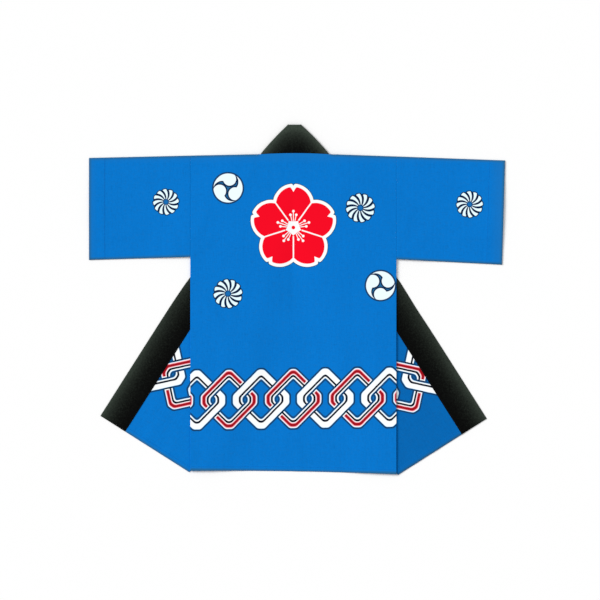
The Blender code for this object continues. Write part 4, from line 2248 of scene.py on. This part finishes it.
@dataclass
class HappiCoat:
    """The whole coat: its cloth, its collar and its stitching."""

    lay: Lay = field(default_factory=Lay)
    cut: Cut = field(default_factory=Cut)
    stitching: Stitching = field(default_factory=Stitching)
    finishes: Finishes = field(default_factory=Finishes.made)
    hem_stitch: float = 13.5 * MM
    hem_rim_rise: float = 2.5 * MM
    seam_stitch: float = 3.2 * MM
    stitch_from_side: float = 2 * MM
    stitch_from_fold: float = 4 * MM
    stitch_from_collar: float = 1 * MM

    def build(self) -> None:
        self.build_back()
        self.build_neck_band()
        for side in SIDES:
            self.build_front(side)
            self.build_leg(side)
            self.build_sleeve(side)

    def build_back(self) -> None:
        """Build the back with its hem."""
        motifs = (BACK_CHAIN, BACK_FLOWERS, BACK_COMMAS, EMBLEM)
        cotton = PrintedCotton("back_print", motifs, self.back_rims()).make()
        maker = Back(self.lay, self.cut, cotton, self.finishes.reverse)
        back = maker.make("back_cloth", "back_panel", Slot.PRINTED, True)
        hem = self.sew_back_hem()

    def build_neck_band(self) -> None:
        """Build the collar's stretch behind the neck."""
        maker = NeckBand(self.lay, self.cut, self.finishes.band, self.finishes.band)
        neck = maker.make("neck_band", "collar_neck", Slot.COLLAR, True)

    def back_rims(self) -> tuple[Rim, ...]:
        """Return the back's hem and its shoulders as rims of its flat cut.

        Returns:
            The rims.
        """
        lay = self.lay
        hem = Rim(*((x, lay.hem_at(x) + self.hem_rim_rise) for x in (-lay.body_half, lay.body_half)))
        rims = [hem]
        for side in SIDES:
            neck = (side.sign * side.neck_reach, lay.neck_corner)
            rims.append(Rim(neck, (side.sign * lay.body_half, side.armhole_top), side.neck_reach))
        return tuple(rims)

    def sleeve_rims(self, side: Side) -> tuple[Rim, ...]:
        """Return a sleeve's underarm edge, cuff and shoulder fold as rims of its flat cut.

        Args:
            side: The side that the sleeve is on.

        Returns:
            The rims.
        """
        corners = (
            (side.sign * self.lay.body_half, side.underarm),
            (side.sign * side.cuff_low_reach, side.cuff_low),
            (side.sign * side.cuff_top_reach, side.cuff_top),
            (side.sign * self.lay.body_half, side.armhole_top),
        )
        return tuple(Rim(start, end) for start, end in zip(corners, corners[1:]))

    def build_front(self, side: Side) -> None:
        """Build one front with its hem.

        Args:
            side: The side that it is on.
        """
        lay, prints = self.lay, SIDE_PRINTS[side.name]
        rim = Rim((0.0, -side.front_drop), (-lay.front_width, -side.front_drop))
        cotton = PrintedCotton(f"front_print_{side.name}", (prints.chain,), (rim,), tone_and_painted_shade=prints.tone_and_painted_shade)
        maker = Front(lay, self.cut, cotton.make(), self.finishes.reverse, side)
        name = f"front_cloth_{side.name}"
        front = maker.make(name, f"front_{side.name}", Slot.PRINTED, side is RIGHT)
        hem = self.sew_front_hem(side)
        neck_width = lay.body_half - side.neck_reach
        top = lay.front_top(side, neck_width)
        area = lay.front_width * top * lay.taper_start
        area += (lay.front_width + neck_width) / 2 * top * (1 - lay.taper_start)

    def build_leg(self, side: Side) -> None:
        """Build one leg of the collar with its seam.

        Args:
            side: The side that it is on.
        """
        lay = self.lay
        maker = CollarLeg(lay, self.cut, self.finishes.band, self.finishes.band, side)
        name = f"collar_band_{side.name}"
        leg = maker.make(name, f"collar_{side.name}", Slot.COLLAR, side is LEFT)
        sewn = self.sew_collar(side)
        top = lay.front_top(side, lay.body_half - side.neck_reach)
        length = top + lay.band_end_rise
        lay.band_width * (top + length) / 2

    def build_sleeve(self, side: Side) -> None:
        """Build one sleeve with its cuff's hem.

        Args:
            side: The side that it is on.
        """
        flower = SIDE_PRINTS[side.name].flower
        cotton = PrintedCotton(f"sleeve_print_{side.name}", (flower,), self.sleeve_rims(side)).make()
        maker = Sleeve(self.lay, self.cut, cotton, self.finishes.reverse, side)
        name = f"sleeve_cloth_{side.name}"
        sleeve = maker.make(name, f"sleeve_{side.name}", Slot.PRINTED, side is RIGHT)
        cuff = self.sew_cuff(maker)

    def sew_back_hem(self) -> Object:
        """Sew the back's hem.

        Returns:
            The stitches.
        """
        lay, cut = self.lay, self.cut
        start = -lay.body_half + self.stitch_from_side

        def line(run: float) -> Vector:
            """Return the place on the hem at a distance from its left end.

            Args:
                run: The distance.

            Returns:
                The place in the frame.
            """
            x = start + run
            y = lay.hem_at(x) + self.hem_stitch
            return lay.to_world(x, y, lay.back_level(x, y) - cut.ply / 2 + cut.hem_ply)

        return self.stitching.sew("back_hem_stitches", line, -2 * start, self.finishes.thread, Slot.PRINTED)

    def sew_front_hem(self, side: Side) -> Object:
        """Sew the turned-out part of a front's hem.

        Args:
            side: The side that the front is on.

        Returns:
            The stitches.
        """
        lay, cut = self.lay, self.cut
        above = self.hem_stitch - side.front_drop
        start = above * tan(lay.lean) + self.stitch_from_fold
        end = lay.front_width - self.stitch_from_collar

        def line(run: float) -> Vector:
            """Return the place on the hem at a distance from the fold."""
            return lay.fold(side, start + run, above, lay.ply, cut.hem_ply - cut.ply / 2)

        name = f"front_hem_stitches_{side.name}"
        return self.stitching.sew(name, line, end - start, self.finishes.thread, Slot.PRINTED)

    def sew_collar(self, side: Side) -> Object:
        """Sew the turned-out part of a collar leg along its seam.

        Args:
            side: The side that the leg is on.

        Returns:
            The stitches.
        """
        lay = self.lay
        start = self.stitch_from_fold
        end = lay.seam_crossing(side, self.seam_stitch, self.stitch_from_fold)

        def line(run: float) -> Vector:
            """Return the place beside the collar's seam at a distance from the hem.

            Args:
                run: The distance.

            Returns:
                The place in the frame.
            """
            up = start + run
            inward = lay.front_edge(side, up) + self.seam_stitch
            return lay.fold(side, inward, up, lay.band_ply, lay.band_ply / 2)

        name = f"collar_stitches_{side.name}"
        return self.stitching.sew(name, line, end - start, self.finishes.black_thread, Slot.COLLAR)

    def sew_cuff(self, sleeve: Sleeve) -> Object:
        """Sew the hem of a cuff on the sleeve's upper layer.

        Args:
            sleeve: The sleeve.

        Returns:
            The stitches.
        """
        inside = sleeve.cuff_hem - self.seam_stitch
        deep = sleeve.levels(1.0, 1.0)[1] - sleeve.levels(1.0, 0.0)[1]

        def line(run: float) -> Vector:
            """Return the place on the cuff's hem at a distance from the underarm edge.

            Args:
                run: The distance.

            Returns:
                The place in the frame.
            """
            rise = run / deep
            full = sleeve.reach_at(1.0, rise) - sleeve.reach_at(0.0, rise)
            on_top, _ = sleeve.at(1 - inside / full, rise, 1.0, 0.0)
            return on_top + UP * (sleeve.cut.hem_ply / 2)

        name = f"cuff_stitches_{sleeve.side.name}"
        return self.stitching.sew(name, line, deep, self.finishes.thread, Slot.PRINTED)


def main() -> None:
    """Set up the studio and build the coat in it."""
    Studio().build()
    log.info("studio set up")
    HappiCoat().build()


if __name__ == "__main__":
    main()
